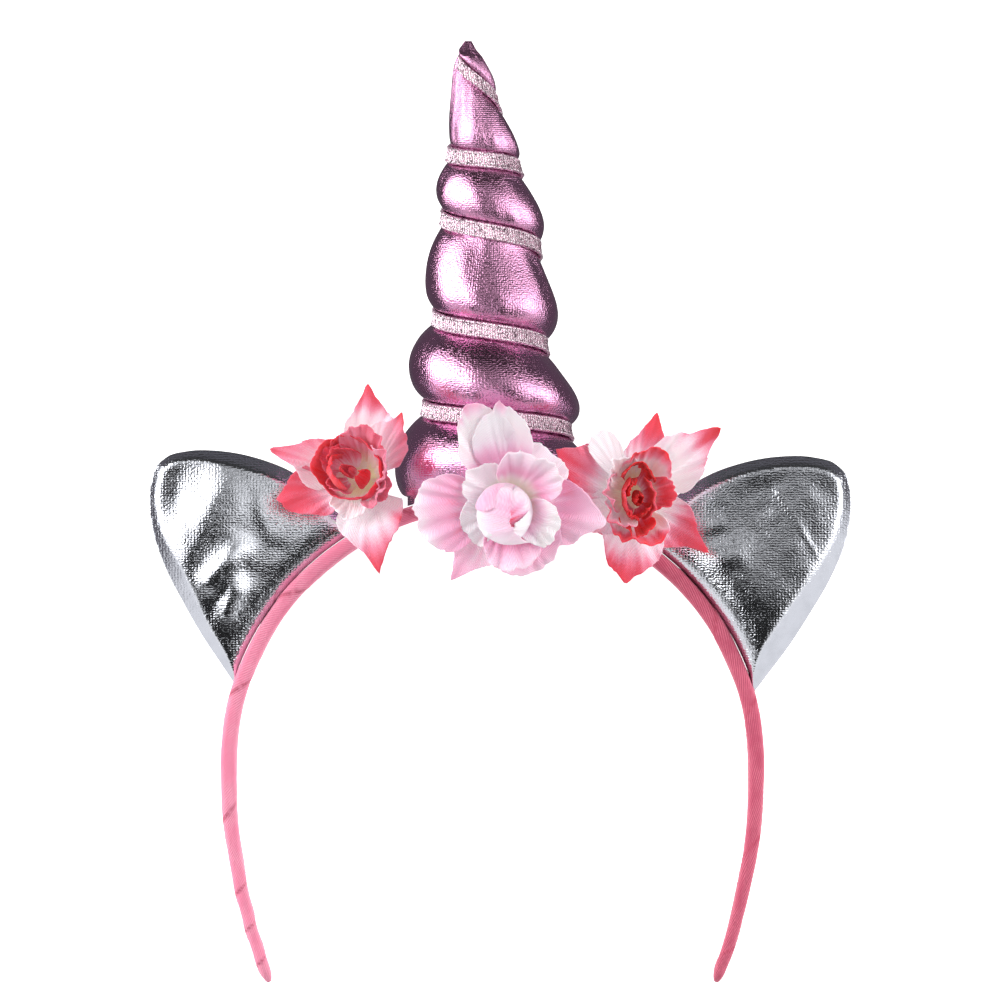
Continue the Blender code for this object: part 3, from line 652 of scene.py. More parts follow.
braid_turns = [BRAID_START]
while braid_turns[-1] < BRAID_END:
    turn = braid_turns[-1]
    radius = HORN_BASE_RADIUS * horn_value(braid_height(turn), "radius")
    braid_turns.append(turn + BRAID_STEP / (2 * math.pi * max(radius, 0.003)))
points = []
along_uv = []
length = 0.0
for n, turn in enumerate(braid_turns):
    height = braid_height(turn)
    if n:
        length += BRAID_STEP
    rib = 0.5 + 0.5 * math.cos(2 * math.pi * length / BRAID_RIB)
    ring = []
    for share in BRAID_SECTION:
        edge = abs(share)
        cord = math.exp(-(((edge - CORD_PLACE) / CORD_REACH) ** 2))
        top = 0.55 + 0.45 * cord + 0.18 * rib * (1 - cord) * (edge < 0.72)
        top += 0.10 * noise.noise(Vector((length * 2600, share * 3, 0.4)))
        top *= math.sqrt(max(0.0, 1 - edge**8)) * 0.75 + 0.25
        half = BRAID_WIDTH / 2 * (1 + 0.05 * noise.noise(Vector((length * 700, 2.2 + (share > 0), 0.0))))
        proud = BRAID_SEAT + BRAID_THICKNESS * clamp(top, 0.12, 1.05)
        ring.append(horn_point(turn, height + half * share, proud))
    for share in (0.9, 0.0, -0.9):
        ring.append(horn_point(turn, height + BRAID_WIDTH / 2 * share, BRAID_SEAT * 0.6))
    points += ring
    along_uv.append(length)
around = len(BRAID_SECTION) + 3
across = [BRAID_WIDTH / 2 * share for share in (*BRAID_SECTION, 0.9, 0.0, -0.9, -1.0)]
faces, uvs = tube_faces(len(braid_turns), around, along_uv, across)
for start in (0, (len(braid_turns) - 1) * around):
    faces.append([start + i for i in range(around)])
    uvs.append([(0.0, 0.0)] * around)

trim, tree, shader = new_material("metallic_braid")
cloth = node(tree, "ShaderNodeUVMap", uv_map="cloth")
run = node(tree, "ShaderNodeSeparateXYZ", [("Vector", cloth.outputs[0])])
rib = maths(tree, "SINE", maths(tree, "MULTIPLY", run.outputs["Y"], 2 * math.pi / BRAID_RIB))
plies = speckle(tree, cloth.outputs[0], 2900.0, 2.0)
glints = node(tree, "ShaderNodeTexVoronoi", [("Vector", cloth.outputs[0]), ("Scale", 2300.0)])
edge = maths(tree, "ABSOLUTE", run.outputs["X"])
cords = ease(tree, edge, 0.0011, 0.0014)
rosy = linear(0.80, 0.62, 0.70)
silver = mix_colour(tree, ease(tree, plies, 0.40, 0.60), rosy, linear(0.98, 0.93, 0.96))
between = maths(tree, "SUBTRACT", 1.0, cords)
# Painted shade in the grooves between the ribs, away from the cords.
shaded_gaps = maths(tree, "MULTIPLY", ease(tree, rib, -0.95, -0.55, 0.75, 0.0), between)
colour = mix_colour(tree, shaded_gaps, silver, linear(0.42, 0.20, 0.30))
# Dark specks where the glitter's facets mirror darkness: painted reflections.
dark_reflection_specks = ease(tree, glints.outputs["Distance"], 0.62, 0.85, 0.0, 0.8)
colour = mix_colour(tree, dark_reflection_specks, colour, linear(0.25, 0.14, 0.20))
tree.links.new(colour, shader.inputs["Base Color"])
shader.inputs["Metallic"].default_value = 0.75
shader.inputs["Roughness"].default_value = 0.24
height = maths(tree, "ADD", plies, maths(tree, "MULTIPLY", rib, 0.25))
add_bump(tree, shader, height, 0.00022, 1.0)
add_piece("wound_braid", points, faces, trim, "horn_braid", uvs)


# Ears: flat pads of silver foil cloth over wadding, sewn round the edge and turned right side out. The
# cloth rolls over at the seam and along the foot, where it is glued to the band, and it creases.
EAR_HEIGHT = 0.0413
EAR_SHOULDER = 0.0022
EAR_RIM_SLOPE = 1.25
EAR_RIM_SOFTNESS = 0.0006
EAR_FOOT_ROLL = 0.0064
EAR_TUCK = 0.25
EAR_CORE = 0.995
EAR_INNER = (0.002, 0.008)
EAR_RIPPLE = 0.0004
EAR_LEAST = 0.00005
EAR_START = math.radians(30.0)
EAR_SWEEP = math.radians(42.0)
EAR_SEAT = 0.00005
EAR_RINGS = 46
EAR_EDGE_POINTS = 190
EAR_FOOT_POINTS = 90
# An ear's edge from the upper end of its foot: (share along the band, share of the ear's height)
EAR_OUTLINE = (
    (0, 0), (0.045, 0.26), (0.1, 0.46), (0.17, 0.63), (0.25, 0.79), (0.33, 0.92), (0.39, 0.985),
    (0.43, 0.995), (0.475, 0.965), (0.53, 0.9), (0.6, 0.79), (0.68, 0.625), (0.77, 0.42), (0.85, 0.26),
    (0.93, 0.11), (1, 0),
)
# Lengths in millimetres, as worn. The pad is fullest at its crest (x, z), a line on this slant, and falls
# away over these widths to its left, right, top and bottom. Folds are ridges from (x, z) to (x, z): the
# width of the flank to the left of that line, the flank to its right, and the height.
EARS = (
    {
        "name": "padded_ear_left",
        "node": "ear_left",
        "side": -1,
        "turn": math.radians(0.0),
        "size": 1.0,
        "foot_rise": 0.3,
        "crown": 2.7,
        "crest": (-65.5, -7.0),
        "slant": 0.46,
        "falls": (8.5, 27.0, 18.0, 27.0),
        "folds": (
            ((-71.0, -26.5), (-55.0, -9.5), 3.0, 3.4, 1.4),
            ((-63.5, -32.5), (-57.0, -17.0), 2.4, 3.0, 1.2),
            ((-50.0, -13.0), (-55.0, 2.0), 1.8, 2.6, 0.25),
        ),
    },
    {
        "name": "padded_ear_right",
        "node": "ear_right",
        "side": 1,
        "turn": math.radians(2.1),
        "size": 1.045,
        "foot_rise": 0.4,
        "crown": 4.2,
        "crest": (64.0, -25.0),
        "slant": 0.0,
        "falls": (30.0, 19.0, 24.0, 26.0),
        "folds": (
            ((62.5, 6.0), (79.5, -22.0), 0.4, 0.5, 0.14),
            ((48.0, -15.0), (61.0, -12.5), 3.0, 3.4, 0.5),
            ((56.0, -6.0), (45.0, -9.0), 1.6, 3.0, 0.3),
        ),
    },
)


def ear_outline(ear):
    """Points round an ear as worn, from the upper end of its foot over the tip and back along the band."""
    def place_at(along, rise):
        turn = EAR_START + ear["turn"] + EAR_SWEEP * along
        radius = BAND_OUTER_RADIUS + EAR_SEAT + EAR_HEIGHT * ear["size"] * rise
        across = ear["side"] * radius * math.sin(turn)
        return Vector((across, 0, radius * math.cos(turn) - BAND_OUTER_RADIUS))

    rows = [(n, *row) for n, row in enumerate(EAR_OUTLINE)]
    finish_at = len(rows) - 1
    outline = []
    for n in range(EAR_EDGE_POINTS):
        at = finish_at * n / EAR_EDGE_POINTS
        outline.append(place_at(value_at(rows, at, 1), value_at(rows, at, 2)))
    for n in range(EAR_FOOT_POINTS):
        outline.append(place_at(1 - n / EAR_FOOT_POINTS, 0.0))
    return outline


def way_off(spot, line):
    """How far a spot is from a line of points."""
    nearest = 1.0
    for start, stop in zip(line, line[1:]):
        run = stop - start
        share = clamp((spot - start).dot(run) / run.length_squared)
        nearest = min(nearest, (spot - start - run * share).length)
    return nearest


def pad_height(ear, spot, to_foot):
    """How far the face of an ear stands off its middle at a place well inside its edge."""
    x = spot.x * 1000
    z = spot.z * 1000
    to_the_left, to_the_right, upwards, downwards = ear["falls"]
    crest_x, crest_z = ear["crest"]
    crest_x += ear["slant"] * (z - crest_z)
    off_x = (x - crest_x) / (to_the_left if x < crest_x else to_the_right)
    off_z = (z - crest_z) / (upwards if z > crest_z else downwards)
    height = EAR_SHOULDER + 0.001 * ear["crown"] * math.exp(-off_x * off_x - off_z * off_z)
    return height + 0.001 * ear["foot_rise"] * (1 - smooth(to_foot, 0.003, 0.016))


def fold_height(ear, spot):
    """How far the folds lift the face of an ear at a place."""
    lift = 0.0
    for (x0, z0), (x1, z1), left_flank, right_flank, height in ear["folds"]:
        run_x = x1 - x0
        run_z = z1 - z0
        length = math.hypot(run_x, run_z)
        off_x = spot.x * 1000 - x0
        off_z = spot.z * 1000 - z0
        along = (off_x * run_x + off_z * run_z) / length
        across = (off_z * run_x - off_x * run_z) / length
        flank = left_flank if across > 0 else right_flank
        ends = smooth(along, -0.5, 0.35 * length) * (1 - smooth(along, 0.65 * length, length + 0.5))
        lift += 0.001 * height * ends * math.exp(-((across / flank) ** 2))
    return lift


silver_foil = foil_material(
    "silver_foil_cloth", linear(0.90, 0.91, 0.94), linear(0.80, 0.81, 0.84), 0.00056, 2.2, 0.000046, 0.15
)
for ear in EARS:
    outline = ear_outline(ear)
    count = len(outline)
    centre = sum(outline, Vector()) / count
    foot_points = outline[EAR_EDGE_POINTS::9] + [outline[0]]
    edge_points = outline[:EAR_EDGE_POINTS:5] + [outline[EAR_EDGE_POINTS]]
    points = list(outline)
    for face_side in (-1, 1):
        for ring in range(1, EAR_RINGS + 1):
            inset = (ring / EAR_RINGS) ** 1.5
            for i, point in enumerate(outline):
                spot = point.lerp(centre, inset * EAR_CORE)
                to_edge = way_off(spot, edge_points)
                to_foot = way_off(spot, foot_points)
                rolled = math.sqrt(1 - (1 - clamp(to_foot / EAR_FOOT_ROLL)) ** 2)
                tucked = EAR_TUCK + (1 - EAR_TUCK) * rolled
                ripple = noise.noise(Vector((spot.x * 90, spot.z * 90, 5.0 + face_side)))
                ripple += 0.25 * noise.noise(Vector((spot.x * 280, spot.z * 280, 9.0 + face_side)))
                inner = smooth(min(to_edge, to_foot), *EAR_INNER)
                lift = tucked * (pad_height(ear, spot, to_foot) + inner * EAR_RIPPLE * ripple)
                if face_side < 0:
                    lift += inner * fold_height(ear, spot)
                rim = EAR_RIM_SLOPE * to_edge
                lift = (rim + lift - math.hypot(rim - lift, EAR_RIM_SOFTNESS)) / 2
                lift = max(lift, EAR_LEAST)
                points.append(Vector((spot.x, face_side * lift, spot.z)))
    faces = []
    for face_side in range(2):
        start = count * (1 + EAR_RINGS * face_side)
        for ring in range(EAR_RINGS):
            outer = 0 if ring == 0 else start + (ring - 1) * count
            inner = start + ring * count
            for i in range(count):
                j = (i + 1) % count
                corners = (outer + i, outer + j, inner + j, inner + i)
                faces.append(corners if face_side else corners[::-1])
        cap = [start + (EAR_RINGS - 1) * count + i for i in range(count)]
        faces.append(cap if face_side else cap[::-1])
    uvs = [[(points[corner].x, points[corner].z) for corner in face] for face in faces]
    pad = add_piece(ear["name"], points, faces, silver_foil, ear["node"], uvs)


# Roses: three cloth flowers. Petals are punched from stiffened cloth, dyed from their edges inwards and
# pressed hot over balls, so that they cup and their tips curl. They are threaded on a stem, hub on hub.
PETAL_WALL = 0.00022
HUB_RADIUS = 0.0022
LAYER_STEP = 0.0011
PETAL_COLUMNS = 44
PETAL_ROWS = 34
SLOPE_STATIONS = (0.0, 0.25, 0.5, 0.75, 1.0)
DYE_STATIONS = (0.0, 0.2, 0.4, 0.6, 0.8, 1.0)
# A petal's cut: the share of its length that is left at its sides, and how much of it is a narrow tip
OUTLINES = {
    "pointed": {"power": 2.2, "root": 0.9, "valley": 0.56, "tip": 0.30, "width": 0.16},
    "kite": {"power": 1.5, "root": 1.0, "valley": 0.56, "tip": 0.14, "width": 0.18},
    "flame": {"power": 2.2, "root": 0.8, "valley": 0.54, "tip": 0.12, "width": 0.2},
    "round": {"power": 2.6, "root": 0.55, "valley": 0.46, "tip": 0.0, "width": 0.2},
    "broad": {"power": 4.0, "root": 0.60, "valley": 0.55, "tip": 0.0, "width": 0.2},
}
OUTER = dict(spread=46, slopes=(12, 22, 28, 14, -6), outline="pointed", edge=10)
CUP = dict(spread=50, slopes=(8, 40, 62, 56, 40), outline="round", edge=10, throat=0.5, hub=0.3)
BUD = dict(spread=62, slopes=(10, 62, 84, 92, 98), outline="broad", edge=4, calm=0.7)
HEART = dict(spread=78, slopes=(44, 78, 90, 96, 110), outline="broad", edge=0, hub=0.15, calm=0.5)


def cut(kind, angle, reach, dye, **own):
    """A petal: its direction in degrees from the flower's right, its reach in millimetres and its dye."""
    return {**kind, "angle": angle, "reach": reach, "dye": dye, **own}


# Petals: slopes up from a petal's back in degrees, and how strongly it is dyed, both from hub to edge. side
# dyes the edge that is further round more, shift moves the tip, and lift raises the petal, in millimetres.
# calm weakens its waves, and hub is where it starts. A rose's lean tilts its bud as it rises, and stretch
# is the bud's share of a round one's width and height.
ROSES = (
    {
        "name": "rose_left",
        "slot": "coral_petals",
        "hub": (-0.0300, -0.0085, 0.0032),
        "pitch": math.radians(10),
        "yaw": math.radians(-12),
        "outer_petals": (
            cut(OUTER, -76, 24.2, (0, 0, 0.1, 0.45, 0.95, 1.3), spread=48, slopes=(12, 22, 26, 12, -20),
                shift=(1.2, 0), side=1.1),
            cut(OUTER, -26, 15.0, (0, 0.1, 0.5, 0.7, 0.8, 0.9), spread=42, slopes=(25, 45, 60, 50, 40),
                outline="kite"),
            cut(OUTER, 50, 22.4, (0, 0.1, 0.3, 0.5, 0.8, 1.3), spread=34, slopes=(12, 26, 34, 44, 62),
                side=-1.2),
            cut(OUTER, 92, 22.6, (0, 0, 0.03, 0.18, 0.9, 1.4), spread=42, slopes=(12, 22, 24, 20, 50),
                shift=(3.0, 0), side=-0.4),
            cut(OUTER, 161, 22.8, (0, 0.05, 0.25, 0.5, 0.75, 1.0), spread=36, side=-0.9),
            cut(OUTER, 197, 20.6, (0, 0.1, 0.45, 0.9, 1.0, 1.05), spread=40, outline="kite"),
        ),
        "cup_petals": (
            cut(CUP, 12, 16.4, (0, 0.2, 0.45, 0.6, 0.65, 0.75), spread=50, slopes=(8, 40, 66, 76, 84)),
            cut(CUP, 72, 16.6, (0, 0.3, 0.7, 0.75, 0.8, 0.95), spread=48),
            cut(CUP, 140, 12.6, (0, 0.1, 0.3, 0.6, 0.9, 1.1), spread=44, slopes=(8, 40, 60, 60, 50)),
            cut(CUP, 205, 11.5, (0, 0.2, 0.6, 0.8, 0.9, 1.0), spread=46, slopes=(8, 40, 66, 76, 84)),
            cut(CUP, -100, 12.0, (0, 0, 0, 0.02, 0.05, 0.1), spread=44, slopes=(8, 20, 34, 40, 40),
                throat=0.3),
            cut(CUP, -42, 14.6, (0, 0.1, 0.3, 0.55, 0.7, 0.85), spread=40, slopes=(8, 34, 58, 66, 70)),
        ),
        "lean": (-0.16, 0.10),
        "stretch": (1.05, 0.95),
        "bud_petals": (
            cut(BUD, 150, 13.6, (0, 0.6, 1.0, 1.2, 1.25, 1.2), slopes=(10, 38, 68, 84, 88)),
            cut(BUD, 70, 13.6, (0, 0.2, 0.8, 1.1, 1.15, 1.2), slopes=(10, 36, 66, 82, 86), throat=0.4),
            cut(BUD, -10, 12.0, (0, 0, 0.1, 0.8, 1.15, 1.2), slopes=(8, 26, 54, 80, 92), throat=0.9),
            cut(BUD, 250, 10.6, (0, 0, 0.2, 0.9, 1.1, 1.15), slopes=(8, 26, 54, 78, 90), throat=0.8),
            cut(BUD, 190, 13.0, (0.3, 0.8, 1.1, 1.25, 1.3, 1.25), spread=66,
                slopes=(24, 60, 84, 102, 122), lift=0.8, shift=(1.4, 0)),
            cut(BUD, 112, 12.0, (0.1, 0.4, 0.8, 1.0, 1.1, 1.15), spread=46, slopes=(24, 56, 78, 96, 104),
                lift=1.0),
            cut(BUD, -30, 9.8, (0, 0.3, 1.0, 1.25, 1.3, 1.3), spread=34, slopes=(30, 60, 82, 104, 128),
                lift=0.6),
        ),
        "heart": (
            cut(HEART, 200, 8.8, (0.6, 0.9, 1.1, 1.2, 1.25, 1.25)),
            cut(HEART, 110, 8.4, (0.4, 0.8, 1.0, 1.1, 1.15, 1.2), spread=60),
            cut(HEART, -20, 6.6, (0, 0.2, 0.5, 0.9, 1.1, 1.2), spread=74, throat=0.6),
        ),
    },
    {
        "name": "rose_middle",
        "slot": "pink_petals",
        "hub": (0.0035, -0.0215, -0.0021),
        "pitch": math.radians(-6),
        "yaw": math.radians(4),
        "outer_petals": (
            cut(OUTER, -66, 17.5, (0, 0, 0.3, 0.8, 0.8, 0.5), spread=46, outline="round"),
            cut(OUTER, -9, 23.8, (0, 0.2, 0.6, 0.9, 0.7, 0.5), spread=46, outline="kite",
                slopes=(12, 28, 30, 14, 2), side=0.5),
            cut(OUTER, 46, 16.4, (0, 0, 0.1, 0.15, 0.2, 0.2), spread=40, outline="round"),
            cut(OUTER, 95, 27.0, (0, 0.6, 0.95, 0.25, 0.1, 0.85), spread=30, calm=0.4, outline="flame",
                slopes=(12, 26, 30, 18, 44), shift=(-0.6, 0)),
            cut(OUTER, 114, 28.4, (0, 0.5, 0.8, 0.2, 0.1, 1.0), spread=26, calm=0.4, outline="flame",
                slopes=(12, 26, 30, 18, 44), shift=(1.0, 0), lift=-0.3),
            cut(OUTER, 184, 23.2, (0, 0.1, 0.5, 1.02, 0.85, 0.3), spread=37, outline="round",
                slopes=(14, 34, 30, 12, -4)),
            cut(OUTER, 233, 23.4, (0, 0, 0.15, 0.6, 0.85, 1.0), spread=38),
        ),
        "cup_petals": (
            cut(CUP, -88, 17.0, (0, 0.1, 0.6, 1.1, 0.8, 0.5), spread=44, slopes=(8, 34, 46, 34, 20)),
            cut(CUP, -28, 16.4, (0, 0.3, 0.75, 0.6, 0.1, 0), spread=46, slopes=(8, 44, 60, 50, 6)),
            cut(CUP, 56, 17.6, (0, 0.05, 0.3, 0.9, 0.55, 0.2), spread=58, slopes=(8, 34, 52, 44, 16)),
            cut(CUP, 140, 13.4, (0, 0, 0.05, 0.1, 0.1, 0.1), spread=44, slopes=(8, 20, 32, 34, 20)),
            cut(CUP, 208, 13.6, (0, 0, 0.05, 0.1, 0.1, 0.1), spread=46, slopes=(8, 26, 36, 30, 10)),
        ),
        "lean": (-0.22, -0.20),
        "stretch": (1.0, 1.0),
        "bud_petals": (
            cut(BUD, 100, 16.6, (0, 0.3, 0.5, 0.7, 0.8, 0.7), spread=66, slopes=(10, 48, 90, 124, 145),
                calm=0.2),
            cut(BUD, -2, 17.6, (0, 0.05, 0.1, 0.25, 0.9, 1.35), spread=70, slopes=(10, 50, 92, 128, 150),
                lift=0.4, calm=0.2, side=-0.2),
            cut(BUD, 196, 18.4, (0, 0.05, 0.12, 0.3, 0.55, 0.7), spread=84,
                slopes=(10, 50, 92, 126, 146), lift=1.1, calm=0.2, shift=(5.4, 0.8), side=-0.7),
            cut(BUD, 266, 14.6, (0, 0.1, 0.15, 0.1, 0.05, 0), spread=60, slopes=(10, 46, 86, 114, 134),
                lift=0.8, calm=0.3),
            cut(BUD, -34, 16.0, (0, 0.2, 0.2, 0.1, 0.05, 0), spread=46, slopes=(12, 46, 84, 116, 140),
                lift=1.2, calm=0.3),
        ),
        "heart": (
            cut(HEART, 200, 8.6, (0.2, 0.3, 0.4, 0.5, 0.6, 0.7)),
            cut(HEART, 80, 8.4, (0.2, 0.3, 0.4, 0.5, 0.6, 0.7)),
            cut(HEART, -40, 8.2, (0.2, 0.3, 0.4, 0.5, 0.6, 0.7)),
        ),
    },
    {
        "name": "rose_right",
        "slot": "coral_petals",
        "hub": (0.0323, -0.0085, -0.0004),
        "pitch": math.radians(4),
        "yaw": math.radians(10),
        "outer_petals": (
            cut(OUTER, -97, 22.0, (0, 0, 0.05, 0.35, 0.9, 1.2), spread=40, outline="kite",
                slopes=(12, 22, 26, 8, -10), side=-0.5),
            cut(OUTER, -41, 22.2, (0, 0, 0.3, 0.8, 1.0, 1.2), spread=40),
            cut(OUTER, 38, 27.0, (0, 0, 0.05, 0.3, 1.0, 1.25), spread=34, slopes=(12, 22, 26, 10, 76),
                side=0.2),
            cut(OUTER, 80, 20.6, (0, 0.05, 0.3, 0.8, 1.1, 1.2), spread=42, slopes=(12, 22, 28, 14, 10),
                shift=(1.6, 0), lift=-0.4, side=-0.6),
            cut(OUTER, 126, 17.6, (0, 0, 0, 0, 0, 0.05), spread=20, calm=0.4, outline="round",
                slopes=(12, 22, 28, 20, 0), lift=0.7),
            cut(OUTER, 152, 23.0, (0, 0, 0.35, 0.75, 0.95, 1.05), spread=34, outline="kite",
                slopes=(12, 22, 28, 18, 0), lift=-0.6, side=0.5),
            cut(OUTER, 212, 17.5, (0, 0, 0.1, 0.3, 0.5, 0.6), spread=44),
        ),
        "cup_petals": (
            cut(CUP, -90, 18.6, (0, 0, 0.02, 0.2, 0.9, 1.35), spread=48, slopes=(8, 26, 52, 66, 60)),
            cut(CUP, -2, 13.0, (0, 0, 0.3, 0.8, 1.0, 1.05), spread=50, slopes=(8, 40, 66, 72, 50)),
            cut(CUP, 76, 15.6, (0, 0, 0, 0.05, 0.7, 1.35), spread=56, slopes=(8, 34, 56, 62, 66),
                throat=0.8),
            cut(CUP, 128, 15.0, (0, 0, 0, 0, 0.1, 0.1), spread=40, slopes=(8, 36, 60, 66, 66)),
            cut(CUP, 178, 15.8, (0, 0, 0.1, 0.3, 0.7, 0.6), spread=44, slopes=(8, 36, 62, 76, 82),
                side=0.3),
            cut(CUP, 226, 15.4, (0, 0, 0.05, 0.1, 0.4, 0.9), spread=42, slopes=(8, 34, 58, 68, 70)),
        ),
        "lean": (-0.06, -0.14),
        "stretch": (0.84, 1.28),
        "bud_petals": (
            cut(BUD, -95, 13.8, (0.2, 0.8, 1.3, 1.6, 1.5, 1.3), spread=56, slopes=(14, 50, 76, 84, 88)),
            cut(BUD, 0, 12.8, (0.3, 0.9, 1.3, 1.4, 1.3, 1.1), spread=66, slopes=(36, 72, 86, 90, 84)),
            cut(BUD, 85, 13.8, (0.3, 0.9, 1.4, 1.7, 1.6, 1.5), spread=56, slopes=(14, 50, 76, 84, 84)),
            cut(BUD, 180, 13.4, (0.3, 0.9, 1.3, 1.5, 1.4, 1.2), spread=66, slopes=(36, 72, 86, 92, 96)),
            cut(BUD, 135, 12.0, (0.8, 1.3, 1.6, 1.7, 1.7, 1.6), spread=44, slopes=(44, 76, 88, 98, 112),
                lift=0.7),
            cut(BUD, -60, 11.4, (0.8, 1.3, 1.6, 1.75, 1.7, 1.6), spread=46,
                slopes=(44, 76, 88, 100, 118), lift=0.8),
            cut(BUD, 230, 12.0, (0.6, 1.1, 1.5, 1.7, 1.6, 1.5), spread=40, slopes=(36, 70, 86, 94, 104),
                lift=0.5),
        ),
        "heart": (
            cut(HEART, 150, 9.4, (1.2, 1.5, 1.7, 1.8, 1.8, 1.7)),
            cut(HEART, 30, 9.0, (1.2, 1.5, 1.7, 1.8, 1.8, 1.7)),
            cut(HEART, 270, 8.4, (1.2, 1.5, 1.7, 1.8, 1.8, 1.7)),
        ),
    },
)
LAYERS = ("outer_petals", "cup_petals", "bud_petals", "heart")
# Waves in a petal's slope: (degrees, and how fast they change with the seed, across and along)
PETAL_WAVES = ((18, 1.7, 2.2, 2.0), (16, 2.3, 5.5, 3.5))
# How much a petal's edge is notched: (share of its length, how fast across, place in the noise)
PETAL_NOTCHES = ((0.06, 4.0, 1.7), (0.028, 27.0, 4.2))
PETAL_SHINGLE = 0.0007
PETAL_CREASE = 0.0004


def petal_grid(petal, seed, lift, lean, stretch):
    """A petal's points in columns from hub to edge, with the dye and the throat's colour at each."""
    shape = OUTLINES[petal["outline"]]
    slopes = list(zip(SLOPE_STATIONS, petal["slopes"]))
    dye_steps = list(zip(DYE_STATIONS, petal["dye"]))
    hub = petal.get("hub", HUB_RADIUS * 1000) / 1000
    full = petal["reach"] / 1000 - hub
    shift_x, shift_y = petal.get("shift", (0.0, 0.0))
    calm = petal.get("calm", 1.0)
    points = []
    dyes = []
    throats = []
    for column in range(PETAL_COLUMNS + 1):
        off = 2 * column / PETAL_COLUMNS - 1
        swing = noise.noise(Vector((seed * 3.1, off * 1.3, 0.2)))
        rounded = (1 - abs(off) ** shape["power"]) ** shape["root"]
        outline = shape["valley"] + (1 - shape["valley"]) * rounded
        outline *= 1 - shape["tip"] * (1 - math.exp(-((abs(off) / shape["width"]) ** 1.3)))
        for notch, rate, depth in PETAL_NOTCHES:
            outline *= 1 + notch * noise.noise(Vector((seed, off * rate, depth)))
        length = full * outline
        out = hub
        up = petal.get("lift", 0.0) / 1000 + lift
        for row in range(PETAL_ROWS + 1):
            share = row / PETAL_ROWS
            at = share * length / full
            if row:
                middle = (share - 0.5 / PETAL_ROWS) * length / full
                slope = value_at(slopes, middle) + petal["edge"] * off * off * middle
                for degrees, own, across, along in PETAL_WAVES:
                    wave = noise.noise(Vector((seed * own, off * across, middle * along)))
                    slope += degrees * calm * middle * wave
                slope = math.radians(slope)
                out += math.cos(slope) * length / PETAL_ROWS
                up += math.sin(slope) * length / PETAL_ROWS
            fan = petal["spread"] * off * (0.72 + 0.28 * math.sqrt(max(share, 0.0)))
            direction = math.radians(petal["angle"] + fan + 5 * share * swing)
            shingle = PETAL_SHINGLE * off * smooth(share, 0.05, 0.5)
            crease = PETAL_CREASE * calm * smooth(share, 0.1, 0.6)
            crease *= noise.noise(Vector((seed * 5.0, off * 8.0, at * 1.4)))
            rise = up + shingle + crease
            x = stretch[0] * out * math.cos(direction) + lean[0] * up + 0.001 * shift_x * share * share
            y = stretch[1] * out * math.sin(direction) + lean[1] * up + 0.001 * shift_y * share * share
            points.append(Vector((x, y, rise)))
            streak = noise.noise(Vector((seed * 7.0, off * 9.0, at * 1.2)))
            blot = noise.noise(Vector((seed * 9.0, off * 2.0, at * 3.0)))
            dye = value_at(dye_steps, clamp(at + 0.06 * blot + 0.07 * streak))
            dye *= 1 + petal.get("side", 0.0) * off * (1 - at * 0.5)
            dyes.append(max(0.0, dye * (1 + 0.18 * streak)))
            throats.append(petal.get("throat", 0.0) * (1 - smooth(at, 0.22, 0.60)))
    return points, dyes, throats


DEEPEST_DYE = 1.8


def petal_cloth(name, stops):
    """Stiffened cloth in one rose's dyes, bare to deepest, paler and greener down its throat, with painted
    weave shade and a painted glow.
    """
    made, tree, shader = new_material(name)
    dye = node(tree, "ShaderNodeAttribute", attribute_name="dye").outputs["Fac"]
    throat = node(tree, "ShaderNodeAttribute", attribute_name="throat").outputs["Fac"]
    cloth = node(tree, "ShaderNodeUVMap", uv_map="cloth").outputs[0]
    threads = speckle(tree, cloth, 3000.0, 2.0)
    soaked = maths(tree, "ADD", dye, ease(tree, threads, 0.3, 0.7, -0.06, 0.06))
    share = maths(tree, "DIVIDE", soaked, DEEPEST_DYE, clamp=True)
    ramp = node(tree, "ShaderNodeValToRGB", [("Fac", share)])
    points = ramp.color_ramp.elements
    while len(points) < len(stops):
        points.new(1.0)
    for point, (at, colour) in zip(points, stops):
        point.position = at / DEEPEST_DYE
        point.color = (*linear(*colour), 1.0)
    colour = mix_colour(tree, throat, ramp.outputs["Color"], linear(0.99, 0.98, 0.78))
    run = node(tree, "ShaderNodeSeparateXYZ", [("Vector", cloth)])
    warp = maths(tree, "SINE", maths(tree, "MULTIPLY", run.outputs["X"], 2 * math.pi / PETAL_THREAD))
    weft = maths(tree, "SINE", maths(tree, "MULTIPLY", run.outputs["Y"], 2 * math.pi / PETAL_THREAD))
    # Painted shade where the weave dips between threads.
    crossings = maths(tree, "MULTIPLY", warp, weft)
    shaded_gaps = ease(tree, crossings, -0.7, 0.5, 0.5, 0.0)
    colour = mix_colour(tree, shaded_gaps, colour, (0.78, 0.72, 0.76), "MULTIPLY")
    tree.links.new(colour, shader.inputs["Base Color"])
    # The cloth's colour is also given off as a painted glow, see below.
    tree.links.new(colour, shader.inputs["Emission Color"])
    weave = maths(tree, "ADD", crossings, maths(tree, "MULTIPLY", threads, 1.5))
    add_bump(tree, shader, weave, 0.00007, 0.8)
    # The cloth glows faintly in its own colour: painted light that stands in for light coming through the
    # thin cloth
    shader.inputs["Emission Strength"].default_value = 0.10
    shader.inputs["Roughness"].default_value = 0.8
    shader.inputs["Specular IOR Level"].default_value = 0.15
    shader.inputs["Sheen Weight"].default_value = 0.2
    shader.inputs["Subsurface Weight"].default_value = 0.25
    shader.inputs["Subsurface Radius"].default_value = (0.004, 0.002, 0.0018)
    shader.inputs["Subsurface Scale"].default_value = 0.5
    return made


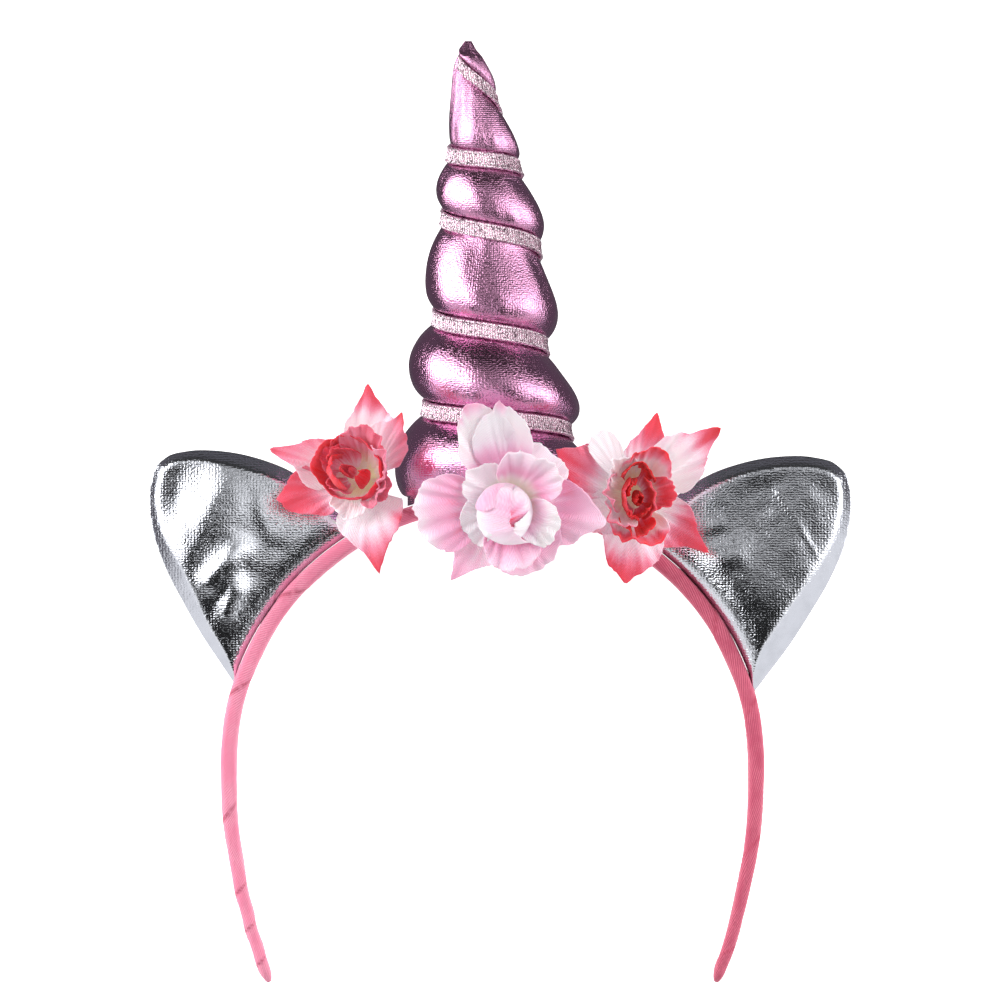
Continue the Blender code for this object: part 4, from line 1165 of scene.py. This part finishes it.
PETAL_THREAD = 0.00050
# The deepest coral stop, which the right rose's core reaches, is deep red dye darkened further as painted
# shade.
CORAL_DYES = (
    (0.0, (0.975, 0.955, 0.965)),
    (0.3, (0.965, 0.85, 0.90)),
    (0.65, (0.94, 0.58, 0.68)),
    (1.0, (0.89, 0.34, 0.43)),
    (1.4, (0.93, 0.17, 0.20)),
    (1.8, (0.74, 0.06, 0.06)),
)
PINK_DYES = (
    (0.0, (0.975, 0.96, 0.965)),
    (0.3, (0.97, 0.89, 0.935)),
    (0.65, (0.96, 0.78, 0.87)),
    (1.0, (0.945, 0.66, 0.79)),
    (1.4, (0.93, 0.40, 0.50)),
    (1.8, (0.90, 0.30, 0.38)),
)
PETAL_CLOTHS = {
    "coral_petals": petal_cloth("coral_dyed_cloth", CORAL_DYES),
    "pink_petals": petal_cloth("pink_dyed_cloth", PINK_DYES),
}


def rose_frame(rose):
    """Where a rose sits as worn: its own +Z faces forward, with +X to the right and +Y up."""
    facing = Matrix.Rotation(math.pi / 2, 4, "X")
    turned = Matrix.Rotation(rose["yaw"], 4, "Y") @ Matrix.Rotation(-rose["pitch"], 4, "X")
    return Matrix.Translation(rose["hub"]) @ facing @ turned


def add_cloth(name, points, faces, rose, replaced, dyes, throats):
    """A sheet of dyed cloth with its wall's thickness."""
    placed = [rose_frame(rose) @ point for point in points]
    uvs = [[(points[corner].x, points[corner].y + points[corner].z) for corner in face] for face in faces]
    masks = {"dye": dyes, "throat": throats}
    sheet = add_piece(name, placed, faces, PETAL_CLOTHS[rose["slot"]], replaced, uvs, masks)
    wall = sheet.modifiers.new("wall", "SOLIDIFY")
    wall.thickness = PETAL_WALL
    wall.offset = 0.0
    return sheet


for number, rose in enumerate(ROSES):
    for n, layer in enumerate(LAYERS):
        points = []
        faces = []
        dyes = []
        throats = []
        lean = (0.0, 0.0)
        stretch = (1.0, 1.0)
        if layer in ("bud_petals", "heart"):
            lean = rose["lean"]
            stretch = rose["stretch"]
        tall = PETAL_ROWS + 1
        for m, petal in enumerate(rose[layer]):
            start = len(points)
            seed = 1.37 + 17 * number + 5 * n + m
            grid, dye, throat = petal_grid(petal, seed, n * LAYER_STEP, lean, stretch)
            points += grid
            dyes += dye
            throats += throat
            for column in range(PETAL_COLUMNS):
                for row in range(PETAL_ROWS):
                    corner = start + column * tall + row
                    faces.append((corner, corner + tall, corner + tall + 1, corner + 1))
        name = f"{rose['name']}_cloth_{layer}"
        sheet = add_cloth(name, points, faces, rose, f"{rose['name']}_{layer}", dyes, throats)


# Stems: short plain plastic stems behind the roses, which stay as the solids are.
stem_plastic, tree, shader = new_material("stem_plastic")
mottle = node(tree, "ShaderNodeTexNoise", [("Scale", 900.0), ("Detail", 3.0)])
colour = mix_colour(tree, mottle.outputs["Fac"], linear(0.90, 0.93, 0.84), linear(0.96, 0.97, 0.93))
tree.links.new(colour, shader.inputs["Base Color"])
shader.inputs["Roughness"].default_value = 0.45
add_bump(tree, shader, mottle.outputs["Fac"], 0.00005, 0.4)
for rose in ROSES:
    stem = frame["nodes"][f"{rose['name']}_stem"]
    for slot in stem.material_slots:
        slot.material = stem_plastic
